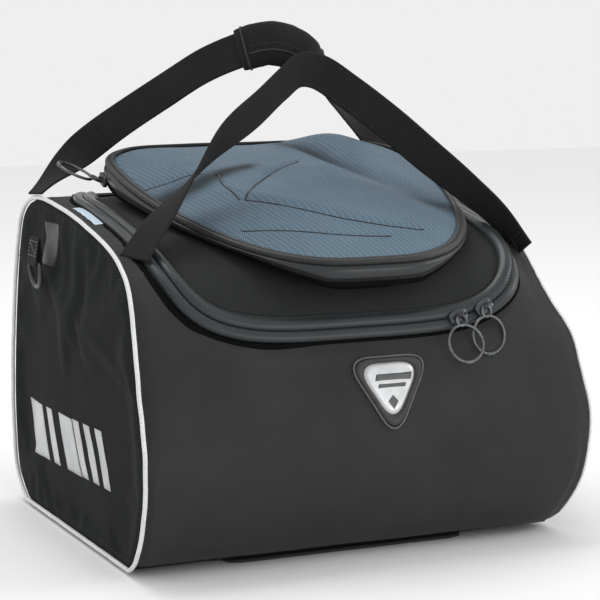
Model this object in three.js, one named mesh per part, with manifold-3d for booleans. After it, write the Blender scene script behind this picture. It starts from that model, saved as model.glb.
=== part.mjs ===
// Motorcycle tank bag: a sewn holdall with a zipped lid, an expanding top pocket and two webbing handles.
// Millimetres, +Z up, +X along the bag to its right, the front faces -Y, origin under the middle on the ground.
import * as THREE from 'three';
import { mergeVertices } from 'three/addons/utils/BufferGeometryUtils.js';
import Module from 'manifold-3d';

const wasm = await Module();
wasm.setup();

// ---------- driving dimensions ----------
const GAP = 0.4;                 // clearance between touching pieces
const FABRIC = 3;                // padded fabric thickness
const LINING_DEPTH = 13;         // from the outer surface in to the lining
const HALF_LENGTH = 195;         // middle of the bag to the piping at each end
const PANEL_EDGE = 192;          // where the wrap-around panels stop short of the piping
const PIPING_RADIUS = 2.2;
const END_BULGE = 6;             // how far the end panels swell outwards
const MID_HEIGHT = 141;          // the ends lean in above and below this height
const LEAN_ABOVE = 0.045;
const LEAN_BELOW = 0.024;
const BOTTOM = 2.8;              // underside of the base panel, on top of the grip pad

// Side view of the outer surface, as [y, z].
const WRAP_LINE = [
  [-100, BOTTOM], [-121, 14], [-146, 52], [-155, 100], [-144, 150], [-131, 193], [-114, 226],
  [-83, 246], [-12, 263], [70, 274], [136, 276], [159, 268], [170, 255], [172.5, 240],
];
const BACK_LINE = [[172.7, 239], [178, 165], [187, 75], [183, 24], [158, BOTTOM]];
const BASE_FRONT = -98;
const BASE_REAR = 155;

// Lid zip, as an outline on the wrap-around panel.
const ZIP_HALF_WIDTH = 162;
const ZIP_SHIFT = -6;            // the lid lies a little to the left
const ZIP_FRONT_Z = 188;
const ZIP_REAR_Y = 126;
const ZIP_TAPE = 8.7;            // width of each of the two tapes
const ZIP_PROUD = 3.6;           // how far the tapes stand above the fabric
const ZIP_STATIONS = 48;
const ZIP_END = 14;              // how far in front of the hinge line the zip stops
const HINGE_HALF_WIDTH = 104;

// Top pocket, in plan as [x, y] for its right half.
const POCKET_SHIFT = 6;
const POCKET_PLAN = [
  [0, -143], [42, -140], [76, -124], [103, -94], [124, -50], [139, 5], [144, 60], [139, 98],
  [116, 119], [62, 125], [0, 125],
];
const POCKET_STATIONS = 40;
const POCKET_FRONT_Y = -127;
const POCKET_FRONT_Z = 246.3;
const POCKET_SLOPE = 0.28;
const COVER_CROWN = 11;
const COVER_THICK = 3;
const BAND_TOP = 2.6;            // depths below the edge piping
const BAND_BOTTOM = 14.6;
const TAPE_BOTTOM = 20;
const BAND_SHARE = 0.6;         // most of the wall's height that each may take where the wall is low
const TAPE_SHARE = 0.8;
const FOOT_NARROW = 0.905;       // the wall's foot is narrower than its head
const WALL = 2.5;

const WEBBING = 30;
const WEBBING_THICK = 2.2;
const RING_RADIUS = 15.4;        // pull ring, to the middle of its wire
const RING_WIRE = 1.1;
const EYE_RADIUS = 4.4;

// ---------- materials ----------
const look = (color, roughness, metalness = 0) => new THREE.MeshStandardMaterial({ color, roughness, metalness });
const BLACK_FABRIC = 0x35383a;
const TEXTILE_BLUE = 0x6f7f8b;
const PIPING_GREY = 0xcfd0d0;
const GUNMETAL = 0x3a3d40;

// ---------- small helpers ----------
const bag = new THREE.Group();

function add(name, geometry, material) {
  const mesh = new THREE.Mesh(geometry, material);
  mesh.name = name;
  bag.add(mesh);
  return mesh;
}

const lerp = (a, b, t) => a + (b - a) * t;
const smooth = (t) => t * t * (3 - 2 * t);
const range = (n) => Array.from({ length: n }, (_, i) => i);

// A closed body from a stack of closed loops of equal length. A cyclic stack joins its last loop to its first,
// and any other stack is closed by a fan at each end.
function stackSolid(loops, cyclic = false) {
  const n = loops[0].length;
  const points = loops.flat().map((p) => p.clone());
  const index = [];
  const rows = cyclic ? loops.length : loops.length - 1;
  for (let r = 0; r < rows; r += 1) {
    const a = r * n;
    const b = ((r + 1) % loops.length) * n;
    for (let i = 0; i < n; i += 1) {
      const j = (i + 1) % n;
      index.push(a + i, a + j, b + j, a + i, b + j, b + i);
    }
  }
  if (!cyclic) {
    for (const [row, flip] of [[0, true], [loops.length - 1, false]]) {
      const middle = new THREE.Vector3();
      loops[row].forEach((p) => middle.addScaledVector(p, 1 / n));
      points.push(middle);
      for (let i = 0; i < n; i += 1) {
        const pair = [row * n + i, row * n + ((i + 1) % n)];
        if (flip) pair.reverse();
        index.push(pair[0], pair[1], points.length - 1);
      }
    }
  }
  return closedGeometry(points, index);
}

// Turns the faces outwards, whichever way the loops ran.
function closedGeometry(points, index) {
  let volume = 0;
  const cross = new THREE.Vector3();
  for (let i = 0; i < index.length; i += 3) {
    cross.crossVectors(points[index[i + 1]], points[index[i + 2]]);
    volume += points[index[i]].dot(cross);
  }
  if (volume < 0) index.reverse();
  const geometry = new THREE.BufferGeometry();
  geometry.setAttribute('position', new THREE.Float32BufferAttribute(points.flatMap((p) => [p.x, p.y, p.z]), 3));
  geometry.setIndex(index);
  geometry.computeVertexNormals();
  return geometry;
}

function toManifold(geometry) {
  const plain = geometry.clone();
  plain.deleteAttribute('normal');
  plain.deleteAttribute('uv');
  const merged = mergeVertices(plain, 1e-4);
  return new wasm.Manifold(new wasm.Mesh({
    numProp: 3,
    vertProperties: new Float32Array(merged.attributes.position.array),
    triVerts: new Uint32Array(merged.index.array),
  }));
}

function fromManifold(solid) {
  const mesh = solid.getMesh();
  const geometry = new THREE.BufferGeometry();
  geometry.setAttribute('position', new THREE.BufferAttribute(mesh.vertProperties, 3));
  geometry.setIndex(new THREE.BufferAttribute(mesh.triVerts, 1));
  geometry.computeVertexNormals();
  return geometry;
}

// A closed outline [u, v] taken again at equal spacing.
function resample(points, count) {
  const curve = new THREE.CatmullRomCurve3(points.map(([u, v]) => new THREE.Vector3(u, v, 0)), true, 'centripetal');
  curve.arcLengthDivisions = 800;
  return curve.getSpacedPoints(count).slice(0, count).map((p) => [p.x, p.y]);
}

// A closed outline moved outwards by a distance. The outline runs anticlockwise.
function offset(loop, distance) {
  return loop.map((p, i) => {
    const before = loop[(i + loop.length - 1) % loop.length];
    const after = loop[(i + 1) % loop.length];
    const along = new THREE.Vector2(after[0] - before[0], after[1] - before[1]).normalize();
    return [p[0] + along.y * distance, p[1] - along.x * distance];
  });
}

// A polygon with rounded corners, as [u, v] points.
function roundedLoop(corners, radius, steps = 4) {
  return corners.flatMap((corner, i) => {
    const at = new THREE.Vector2(...corner);
    const back = new THREE.Vector2(...corners[(i + corners.length - 1) % corners.length]).sub(at).normalize();
    const ahead = new THREE.Vector2(...corners[(i + 1) % corners.length]).sub(at).normalize();
    const reach = radius / Math.tan(Math.acos(back.dot(ahead)) / 2);
    const curve = new THREE.QuadraticBezierCurve(
      at.clone().addScaledVector(back, reach), at, at.clone().addScaledVector(ahead, reach));
    return curve.getPoints(steps).map((p) => [p.x, p.y]);
  });
}

// ---------- the bag's surface ----------
const taper = (z) => 1 - (z > MID_HEIGHT ? LEAN_ABOVE : LEAN_BELOW) * ((z - MID_HEIGHT) / MID_HEIGHT) ** 2;

const sideCurve = (line) => new THREE.CatmullRomCurve3(line.map(([y, z]) => new THREE.Vector3(0, y, z)),
  false, 'centripetal');
const wrapCurve = sideCurve(WRAP_LINE);
const backCurve = sideCurve(BACK_LINE);
const WRAP_LENGTH = wrapCurve.getLength();
const BACK_LENGTH = backCurve.getLength();

// A point at distance s along a side curve, x along the bag, raised by h.
function onCurve(curve, length, x, s, h) {
  const t = THREE.MathUtils.clamp(s / length, 0, 1);
  const p = curve.getPointAt(t);
  const along = curve.getTangentAt(t);
  return new THREE.Vector3(x * taper(p.z), p.y - along.z * h, p.z + along.y * h);
}
const onWrap = (x, s, h) => onCurve(wrapCurve, WRAP_LENGTH, x, s, h);

// The distance along the wrap where a test on its point first holds.
function wrapDistance(test) {
  const steps = 2000;
  for (let i = 0; i <= steps; i += 1) {
    if (test(wrapCurve.getPointAt(i / steps))) return (WRAP_LENGTH * i) / steps;
  }
  return WRAP_LENGTH;
}
const zipFront = wrapDistance((p) => p.z > ZIP_FRONT_Z);
const zipRear = wrapDistance((p) => p.y > ZIP_REAR_Y);
const zipMiddle = (zipFront + zipRear) / 2;
const zipHalfDepth = (zipRear - zipFront) / 2;
const deckHeight = (y) => wrapCurve.getPointAt(wrapDistance((p) => p.z > 150 && p.y > y) / WRAP_LENGTH).z;

// Outline of the zip: wide round corners in front, tighter ones behind. It starts at the middle of the rear.
function zipOutline() {
  const dense = range(160).map((i) => {
    const angle = Math.PI / 2 + (2 * Math.PI * i) / 160;
    const power = Math.sin(angle) > 0 ? 2 / 7 : 2 / 4.1;
    const u = Math.sign(Math.cos(angle)) * Math.abs(Math.cos(angle)) ** power;
    const v = Math.sign(Math.sin(angle)) * Math.abs(Math.sin(angle)) ** power;
    return [ZIP_SHIFT + u * ZIP_HALF_WIDTH, zipMiddle + v * zipHalfDepth];
  });
  return resample(dense, ZIP_STATIONS);
}
const zipLoop = zipOutline();
const scaledTo = (loop, centre, k) => loop.map(([u, v]) => [lerp(centre[0], u, k), lerp(centre[1], v, k)]);
const wrapLoop = (loop, h) => loop.map(([x, s]) => onWrap(x, s, h));

// ---------- wrap-around panels, base and ends ----------
// A plate that follows a side curve, from edge to edge.
function curvedPlate(curve, length, steps, edge) {
  return stackSolid(range(steps + 1).map((i) => {
    const s = (length * i) / steps;
    const corner = (x, h) => onCurve(curve, length, x, s, h);
    return [corner(-edge, 0), corner(edge, 0), corner(edge, -FABRIC), corner(-edge, -FABRIC)];
  }));
}

// A panel on the wrap inside an outline, between two heights.
const PATCH_SHARES = [0.1, 0.35, 0.6, 0.82, 1];
function wrapPatch(outline, low, high) {
  const level = (h, shares) => shares.map((k) => wrapLoop(scaledTo(outline, [ZIP_SHIFT, zipMiddle], k), h));
  return stackSolid([...level(low, PATCH_SHARES), ...level(high, [...PATCH_SHARES].reverse())]);
}

// The front, the deck and the rear shoulder are one sheet, cut out where the lid lies.
function mainWrap() {
  const sheet = curvedPlate(wrapCurve, WRAP_LENGTH, 44, PANEL_EDGE);
  const cut = wrapPatch(offset(zipLoop, ZIP_TAPE + 2 * GAP), -3 * FABRIC, 2 * FABRIC);
  return fromManifold(toManifold(sheet).subtract(toManifold(cut)));
}

// The bag's outline in side view, as [y, z] points: up the front, over the top, down the back, along the base.
const sideOutline = resample([
  ...wrapCurve.getSpacedPoints(30).map((p) => [p.y, p.z]),
  ...backCurve.getSpacedPoints(14).slice(1).map((p) => [p.y, p.z]),
  [100, BOTTOM], [30, BOTTOM], [-40, BOTTOM],
], 48);
const sideCentre = [15, 140];
const inset = (distance) => offset(sideOutline, distance);

function endPanel(side) {
  const outline = inset(PIPING_RADIUS + GAP + 0.8).map(([y, z]) => [y, Math.max(z, BOTTOM + 4.6)]);
  const loop = (k, base) => scaledTo(outline, sideCentre, k).map(([y, z]) => new THREE.Vector3(
    side * ((base * taper(z)) + END_BULGE * (1 - k * k)), y, z));
  const shares = [0.12, 0.45, 0.75, 1];
  return stackSolid([
    ...shares.map((k) => loop(k, PANEL_EDGE + GAP)),
    ...[...shares].reverse().map((k) => loop(k, PANEL_EDGE + GAP + FABRIC)),
  ]);
}

function piping(side) {
  const x = HALF_LENGTH;
  const line = sideOutline.map(([y, z]) => new THREE.Vector3(side * x * taper(z), y, Math.max(z, BOTTOM + 1)));
  return new THREE.TubeGeometry(new THREE.CatmullRomCurve3(line, true, 'centripetal'), 48, PIPING_RADIUS, 5, true);
}

function plate(corners, radius, bottom, thick) {
  const shape = new THREE.Shape(roundedLoop(corners, radius).map(([x, y]) => new THREE.Vector2(x, y)));
  return new THREE.ExtrudeGeometry(shape, { depth: thick, bevelEnabled: false }).translate(0, 0, bottom);
}

const rectangle = (x0, y0, x1, y1) => [[x0, y0], [x1, y0], [x1, y1], [x0, y1]];

// Thin lining that hangs just inside the panels, open under the lid.
function liningShell() {
  const block = (distance, half) => {
    const shape = new THREE.Shape(inset(distance).map(([y, z]) => new THREE.Vector2(y, z)));
    const solid = new THREE.ExtrudeGeometry(shape, { depth: 2 * half, bevelEnabled: false });
    solid.translate(0, 0, -half);
    solid.applyMatrix4(new THREE.Matrix4().set(0, 0, 1, 0, 1, 0, 0, 0, 0, 1, 0, 0, 0, 0, 0, 1));
    const position = solid.attributes.position;
    for (let i = 0; i < position.count; i += 1) {
      position.setX(i, position.getX(i) * taper(position.getZ(i)));
    }
    return toManifold(solid);
  };
  const mouth = plate(rectangle(-150, -116, 150, 122), 40, 170, 130);
  return fromManifold(block(LINING_DEPTH, 187).subtract(block(LINING_DEPTH + 1, 186)).subtract(toManifold(mouth)));
}

const fabric = () => look(BLACK_FABRIC, 0.85);
add('main_wrap', mainWrap(), fabric());
add('back_panel', curvedPlate(backCurve, BACK_LENGTH, 9, PANEL_EDGE), fabric());
const basePanel = new THREE.BoxGeometry(2 * PANEL_EDGE * taper(0), BASE_REAR - BASE_FRONT, FABRIC);
basePanel.translate(0, (BASE_REAR + BASE_FRONT) / 2, BOTTOM + FABRIC / 2);
add('base_panel', basePanel, fabric());
add('base_pad', plate(rectangle(-108, -106, 108, 146), 14, 0, BOTTOM - GAP), look(0x2a2c2d, 0.95));
add('base_board', plate(rectangle(-170, -84, 170, 128), 12, BOTTOM + FABRIC + 0.8, 2.8), look(0x55575a, 0.7));
add('inner_lining', liningShell(), look(0x8a8d90, 0.9));
for (const [name, side] of [['left', -1], ['right', 1]]) {
  add(`${name}_end_panel`, endPanel(side), look(0x2d3031, 0.8));
  add(`${name}_piping`, piping(side), look(PIPING_GREY, 0.5));
}

// ---------- lid and its zip ----------
// A band between two offsets of the zip outline, from the station after its start to its end.
function zipBand(inner, outer, first, last, bottom, top) {
  const near = offset(zipLoop, inner);
  const far = offset(zipLoop, outer);
  return stackSolid(range(last - first + 1).map((i) => {
    const k = (first + i) % ZIP_STATIONS;
    return [onWrap(...near[k], bottom), onWrap(...far[k], bottom), onWrap(...far[k], top), onWrap(...near[k], top)];
  }));
}
const zipStart = zipLoop.findIndex(([x, s]) => x < ZIP_SHIFT && s < zipRear - ZIP_END);

add('lid_panel', wrapPatch(offset(zipLoop, -ZIP_TAPE - 2 * GAP), -FABRIC, 0), fabric());
add('deck_zip_tape', zipBand(GAP, ZIP_TAPE, zipStart, ZIP_STATIONS - zipStart, -FABRIC, ZIP_PROUD),
  look(0x4b555c, 0.5));
add('lid_zip_tape', zipBand(-ZIP_TAPE, -GAP, zipStart, ZIP_STATIONS - zipStart, -FABRIC, ZIP_PROUD),
  look(0x4b555c, 0.5));

// The fabric hinge lies across the rear, between the two ends of the zip.
function hingeStrip() {
  const left = ZIP_SHIFT - HINGE_HALF_WIDTH;
  const right = ZIP_SHIFT + HINGE_HALF_WIDTH;
  const steps = 4;
  return stackSolid(range(steps + 1).map((i) => {
    const s = zipRear + lerp(-ZIP_TAPE, ZIP_TAPE - 2 * GAP, i / steps);
    return [onWrap(left, s, -FABRIC), onWrap(right, s, -FABRIC), onWrap(right, s, -1), onWrap(left, s, -1)];
  }));
}
add('lid_hinge', hingeStrip(), look(0x2b2d2e, 0.9));

// ---------- top pocket ----------
const pocketLoop = resample([
  ...POCKET_PLAN,
  ...POCKET_PLAN.slice(1, -1).reverse().map(([x, y]) => [-x, y]),
].map(([x, y]) => [x + POCKET_SHIFT, y]), POCKET_STATIONS);
const edgeHeight = (y) => POCKET_FRONT_Z + POCKET_SLOPE * (y - POCKET_FRONT_Y);
// The wall's foot is drawn in towards the front and the rear.
const drawnIn = (y) => y * lerp(1, y < 0 ? 0.86 : 0.93, smooth(THREE.MathUtils.clamp((Math.abs(y) - 50) / 60, 0, 1)));
const footHeight = (y) => deckHeight(drawnIn(y)) + 3 * GAP;
const wallHeight = (y) => edgeHeight(y) - footHeight(y);
const bandDepth = (y) => Math.min(BAND_BOTTOM, BAND_SHARE * wallHeight(y));
const tapeDepth = (y) => Math.min(TAPE_BOTTOM, TAPE_SHARE * wallHeight(y));
const pocketCentre = [POCKET_SHIFT, 15];

// A closed wall that follows the pocket's outline between two depths below its edge piping.
function pocketBand(outer, low, high) {
  const ring = (distance, depth) => offset(pocketLoop, distance).map(([x, y], i) => new THREE.Vector3(
    x, y, edgeHeight(pocketLoop[i][1]) - depth(pocketLoop[i][1])));
  return stackSolid([ring(outer, low), ring(outer, high), ring(outer - WALL, high), ring(outer - WALL, low)], true);
}

// The folding wall between the lid and the pocket's zip. Its foot is drawn in at the front.
function pocketGusset() {
  const foot = (distance) => offset(pocketLoop, distance).map(([x, y]) => new THREE.Vector3(
    POCKET_SHIFT + (x - POCKET_SHIFT) * FOOT_NARROW, drawnIn(y), footHeight(y) + (y < -100 ? 0.8 : 0)));
  const head = (distance) => offset(pocketLoop, distance).map(([x, y], i) => new THREE.Vector3(
    x, y, edgeHeight(pocketLoop[i][1]) - tapeDepth(pocketLoop[i][1]) - GAP));
  return stackSolid([foot(-3), head(-3), head(-3 - WALL), foot(-3 - WALL)], true);
}

function pocketCover() {
  const outline = offset(pocketLoop, -PIPING_RADIUS - 0.7);
  const loop = (k, lift) => scaledTo(outline, pocketCentre, k).map(([x, y]) => new THREE.Vector3(
    x, y, edgeHeight(y) + lift + COVER_CROWN * (1 - k ** 3)));
  const shares = [0.1, 0.4, 0.65, 0.85, 1];
  return stackSolid([
    ...shares.map((k) => loop(k, 1.8 - COVER_THICK)),
    ...[...shares].reverse().map((k) => loop(k, 1.8)),
  ]);
}

const pocketEdge = new THREE.CatmullRomCurve3(
  pocketLoop.map(([x, y]) => new THREE.Vector3(x, y, edgeHeight(y))), true, 'centripetal');
add('pocket_gusset', pocketGusset(), look(0x26282a, 0.9));
add('pocket_lower_tape', pocketBand(0, tapeDepth, (y) => bandDepth(y) + GAP), look(0x2e3133, 0.7));
add('pocket_zip_band', pocketBand(0, bandDepth, () => BAND_TOP), look(0x3a4045, 0.6));
add('pocket_cover', pocketCover(), look(TEXTILE_BLUE, 0.6));
add('pocket_piping', new THREE.TubeGeometry(pocketEdge, 48, PIPING_RADIUS, 5, true), look(0x1c1d1e, 0.5));

const pocketRear = Math.max(...pocketLoop.map((p) => p[1]));
const pocketHinge = new THREE.BoxGeometry(104, 1.2, 15);
pocketHinge.translate(POCKET_SHIFT, pocketRear + GAP + 0.6, edgeHeight(pocketRear) - BAND_BOTTOM - 0.2);
add('pocket_hinge', pocketHinge, look(0x2b2d2e, 0.9));

// ---------- sliders and pull rings ----------
// A zip slider in its own frame: x along the zip, y across it, z out of the fabric. The bail stands over it.
function sliderGeometry() {
  const body = new THREE.Shape(roundedLoop([[-8, -4], [-3, -5.6], [8, -4.6], [8, 4.6], [-3, 5.6], [-8, 4]], 1.6, 2)
    .map(([x, y]) => new THREE.Vector2(x, y)));
  const base = new THREE.ExtrudeGeometry(body, { depth: 2.6, bevelEnabled: false });
  const arch = new THREE.Shape();
  arch.moveTo(-4.4, -0.5);
  arch.lineTo(-4.4, 2.6);
  arch.absarc(0, 2.6, 4.4, Math.PI, 0, true);
  arch.lineTo(4.4, -0.5);
  arch.lineTo(2.7, -0.5);
  arch.lineTo(2.7, 2.6);
  arch.absarc(0, 2.6, 2.7, 0, Math.PI, false);
  arch.lineTo(-2.7, -0.5);
  const bail = new THREE.ExtrudeGeometry(arch, { depth: 2.4, bevelEnabled: false, curveSegments: 5 });
  bail.translate(0, 0, -1.2);
  bail.applyMatrix4(new THREE.Matrix4().set(0, 0, 1, 0, 1, 0, 0, 0, 0, 1, 0, 2.4, 0, 0, 0, 1));
  return fromManifold(toManifold(base).add(toManifold(bail)));
}
const BAIL_HEIGHT = 5.7;         // axis of the puller's swing, above the slider's underside

// A wire ring with a small eye, hanging along -y from the origin, which lies on the swing axis.
function pullerGeometry() {
  const eye = new THREE.TorusGeometry(EYE_RADIUS, RING_WIRE, 5, 14).translate(0, -EYE_RADIUS, 0);
  const ring = new THREE.TorusGeometry(RING_RADIUS, RING_WIRE, 5, 24);
  ring.translate(0, -2 * EYE_RADIUS - RING_RADIUS + 0.6, 0);
  return fromManifold(toManifold(eye).add(toManifold(ring)));
}

// Places geometry by its origin, its x direction and its outward direction.
function placed(geometry, origin, along, outward) {
  const z = outward.clone().normalize();
  const x = along.clone().addScaledVector(z, -along.dot(z)).normalize();
  const y = new THREE.Vector3().crossVectors(z, x);
  return geometry.applyMatrix4(new THREE.Matrix4().makeBasis(x, y, z).setPosition(origin));
}

// The slider on the lid zip at x, and its pull ring, tilted to rest on the fabric below.
function lidSlider(name, x, tilt, turn) {
  const at = zipLoop.reduce((best, p) => (p[1] < zipMiddle && Math.abs(p[0] - x) < Math.abs(best[0] - x)
    ? p : best), [1e6, 0]);
  const station = zipLoop.indexOf(at);
  const next = zipLoop[station + 1];
  const share = (x - at[0]) / (next[0] - at[0]);
  const s = lerp(at[1], next[1], share);
  const origin = onWrap(x, s, ZIP_PROUD + 0.9);
  const along = onWrap(next[0], next[1], 0).sub(onWrap(at[0], at[1], 0)).normalize();
  const outward = onWrap(x, s, 1).sub(onWrap(x, s, 0));
  add(`${name}_slider`, placed(sliderGeometry(), origin, along, outward), look(GUNMETAL, 0.35, 0.9));
  const axle = origin.clone().addScaledVector(outward, BAIL_HEIGHT - 0.9);
  const hang = new THREE.Matrix4().makeRotationX(tilt).multiply(new THREE.Matrix4().makeRotationZ(turn));
  add(`${name}_puller`, placed(pullerGeometry().applyMatrix4(hang), axle, along, outward), look(GUNMETAL, 0.3, 0.9));
}
lidSlider('left_zip', 82, -0.02, -0.24);
lidSlider('right_zip', 107, 0.22, -0.5);

function pocketSlider() {
  const y = 92;
  const wall = pocketLoop.filter((p) => p[0] < 0);
  const near = wall.reduce((best, p) => (Math.abs(p[1] - y) < Math.abs(best[1] - y) ? p : best));
  const index = pocketLoop.indexOf(near);
  const next = pocketLoop[(index + 1) % POCKET_STATIONS];
  const point = (p) => new THREE.Vector3(p[0], p[1], edgeHeight(p[1]) - bandDepth(p[1]));
  const along = point(next).sub(point(near)).normalize();
  const outward = new THREE.Vector3(-1, 0, 0);
  outward.addScaledVector(along, -outward.dot(along)).normalize();
  const origin = point(near).addScaledVector(along, (y - near[1]) / along.y).addScaledVector(outward, 1.1);
  add('pocket_slider', placed(sliderGeometry(), origin, along, outward), look(GUNMETAL, 0.35, 0.9));
  const axle = origin.clone().addScaledVector(outward, BAIL_HEIGHT - 0.9);
  const down = new THREE.Vector3().crossVectors(outward, along);
  const turn = down.z > 0 ? 0 : Math.PI;
  const hang = new THREE.Matrix4().makeRotationX(turn ? 1.2 : -1.2)
    .multiply(new THREE.Matrix4().makeRotationZ(turn));
  add('pocket_puller', placed(pullerGeometry().applyMatrix4(hang), axle, along, outward), look(GUNMETAL, 0.3, 0.9));
}
pocketSlider();

// ---------- handles ----------
// A webbing strap along points from its left end to its right end. The width direction turns in the plane
// across the bag from one angle at the ends to another at the top, measured up from the rearward direction.
const REAR_STRAP = {
  points: [[-186, 126, 281], [-153, 128, 309], [-124, 117, 335], [-84, 84, 372], [-58, 58, 395], [-30, 31, 409],
    [-12, 24, 412], [8, 24, 407], [28, 26, 394], [58, 52, 371], [92, 96, 354], [124, 124, 333], [154, 131, 309],
    [186, 126, 281]],
  endAngle: 0,
  topAngle: 82,
};
const FRONT_STRAP = {
  points: [[-187, -84, 255], [-166, -78, 272], [-142, -66, 288], [-112, -50, 309], [-84, -38, 332], [-44, -22, 357],
    [-14, -8, 377], [4, -1, 389], [22, 0, 389], [48, -6, 376], [84, -17, 353], [116, -30, 327], [144, -50, 303],
    [168, -74, 281], [187, -84, 255]],
  endAngle: 30,
  topAngle: -80,
};

function strap({ points, endAngle, topAngle }, steps = 44) {
  const curve = new THREE.CatmullRomCurve3(points.map((p) => new THREE.Vector3(...p)), false, 'centripetal');
  return stackSolid(range(steps + 1).map((i) => {
    const t = i / steps;
    const centre = curve.getPointAt(t);
    const along = curve.getTangentAt(t);
    const share = smooth(THREE.MathUtils.clamp((0.5 - Math.abs(t - 0.5)) / 0.36, 0, 1));
    const angle = THREE.MathUtils.degToRad(lerp(endAngle, topAngle, share));
    const wide = new THREE.Vector3(0, Math.cos(angle), Math.sin(angle));
    wide.addScaledVector(along, -wide.dot(along)).normalize();
    const thick = new THREE.Vector3().crossVectors(along, wide);
    const corner = (u, v) => centre.clone().addScaledVector(wide, u * WEBBING / 2)
      .addScaledVector(thick, v * WEBBING_THICK / 2);
    return [corner(-1, -1), corner(1, -1), corner(1, 1), corner(-1, 1)];
  }));
}

// The padded wrap that holds the rear strap as a hand grip.
function handGrip() {
  const curve = new THREE.CatmullRomCurve3(REAR_STRAP.points.map((p) => new THREE.Vector3(...p)), false,
    'centripetal');
  const ring = (t, grow) => {
    const centre = curve.getPointAt(t);
    const along = curve.getTangentAt(t);
    const wide = new THREE.Vector3(0, Math.cos(1.43), Math.sin(1.43));
    wide.addScaledVector(along, -wide.dot(along)).normalize();
    const thick = new THREE.Vector3().crossVectors(along, wide);
    return range(14).map((i) => {
      const a = (2 * Math.PI * i) / 14;
      return centre.clone().addScaledVector(wide, Math.cos(a) * (WEBBING / 2 + grow + 0.8))
        .addScaledVector(thick, Math.sign(Math.sin(a)) * Math.abs(Math.sin(a)) ** 0.6 * (WEBBING_THICK / 2 + grow));
    });
  };
  const stations = range(9).map((i) => lerp(0.435, 0.575, i / 8));
  return stackSolid([
    ...stations.map((t) => ring(t, 4.6)),
    ...[...stations].reverse().map((t) => ring(t, 2.1)),
  ], true);
}
add('front_handle_strap', strap(FRONT_STRAP), look(0x3a3b3c, 0.85));
add('rear_handle_strap', strap(REAR_STRAP), look(0x3a3b3c, 0.85));
add('handle_grip', handGrip(), look(0x303132, 0.9));

// ---------- strap rings on the ends ----------
const D_BAR = [88, 225];         // middle of the ring's bar, as [y, z]
const D_WIRE = 1.6;
const D_HALF = 15;
const TAB_HALF = 12;

function dRing(side, x) {
  const arc = range(9).map((i) => {
    const a = (Math.PI * i) / 8;
    return new THREE.Vector3(side * (x - 2.2 * Math.sin(a)), D_BAR[0] + D_HALF * Math.cos(a),
      D_BAR[1] - 3 - 17 * Math.sin(a));
  });
  const bar = [-0.8, 0, 0.8].map((k) => new THREE.Vector3(side * x, D_BAR[0] + k * D_HALF, D_BAR[1]));
  return new THREE.TubeGeometry(new THREE.CatmullRomCurve3([...arc, ...bar], true, 'centripetal'),
    30, D_WIRE, 5, true);
}

// A folded webbing tab around the ring's bar, sewn to the end panel above it.
function dTab(side, x) {
  const shape = new THREE.Shape();
  shape.moveTo(-1.6, 22);
  shape.lineTo(-3.6, 4);
  shape.absarc(0, 0, 3.9, Math.PI * 0.8, Math.PI * 2.2, false);
  shape.lineTo(1.2, 22);
  const hole = new THREE.Path();
  hole.absarc(0, 0, D_WIRE + 0.6, 0, 2 * Math.PI, true);
  shape.holes.push(hole);
  const tab = new THREE.ExtrudeGeometry(shape, { depth: 2 * TAB_HALF, bevelEnabled: false, curveSegments: 8 });
  tab.translate(0, 0, -TAB_HALF);
  const turned = new THREE.Matrix4().set(side, 0, 0, side * x, 0, 0, -side, D_BAR[0], 0, 1, 0, D_BAR[1], 0, 0, 0, 1);
  return tab.applyMatrix4(turned);
}
const dRingX = (HALF_LENGTH + 1) * taper(D_BAR[1]) + END_BULGE + 3.8;
for (const [name, side] of [['left', -1], ['right', 1]]) {
  add(`${name}_d_ring`, dRing(side, dRingX), look(0x2a2c2e, 0.4, 0.6));
  add(`${name}_ring_tab`, dTab(side, dRingX), look(0x303234, 0.85));
}

// ---------- badge and side label ----------
const BADGE = [14, 139];         // middle of the badge, as [x, z]
const badgeS = wrapDistance((p) => p.z > BADGE[1]);
const badgeLoop = (grow) => resample(roundedLoop([
  [-33 - grow, 27 + grow * 0.6], [0, -38 - grow * 1.5], [33 + grow, 27 + grow * 0.6],
].map(([u, v]) => [u + BADGE[0], v + badgeS]), 9, 5), 24);
const badgeRing = (grow, h) => wrapLoop(badgeLoop(grow), h);
add('badge_frame', stackSolid([badgeRing(0, GAP), badgeRing(0, 3.4), badgeRing(-6, 3.4), badgeRing(-6, GAP)], true),
  look(0x252728, 0.7));
const badgeCentre = [BADGE[0], badgeS + 4];
const plateLoop = (k, h) => wrapLoop(scaledTo(badgeLoop(-6.6), badgeCentre, k), h);
add('badge_plate', stackSolid([plateLoop(0.3, GAP), plateLoop(1, GAP), plateLoop(1, 2), plateLoop(0.3, 2.4)]),
  look(0xd8d9da, 0.35, 0.3));

function sideLabel() {
  const start = wrapDistance((p) => p.z > 150 && p.y > -2);
  return stackSolid(range(5).map((i) => {
    const s = start + i * 15;
    return [onWrap(-185, s, GAP), onWrap(-179, s, GAP), onWrap(-179, s, 1.1), onWrap(-185, s, 1.1)];
  }));
}
add('side_label', sideLabel(), look(0xc5d6e2, 0.6));

export default bag;
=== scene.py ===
# Motorcycle tank bag: soft panels, zips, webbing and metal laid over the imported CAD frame.
# Lengths are millimetres until a mesh is made. X runs along the bag, the front faces -Y, Z is up.
import math

import bpy
import numpy as np
from mathutils import Matrix, Vector, noise


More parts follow.
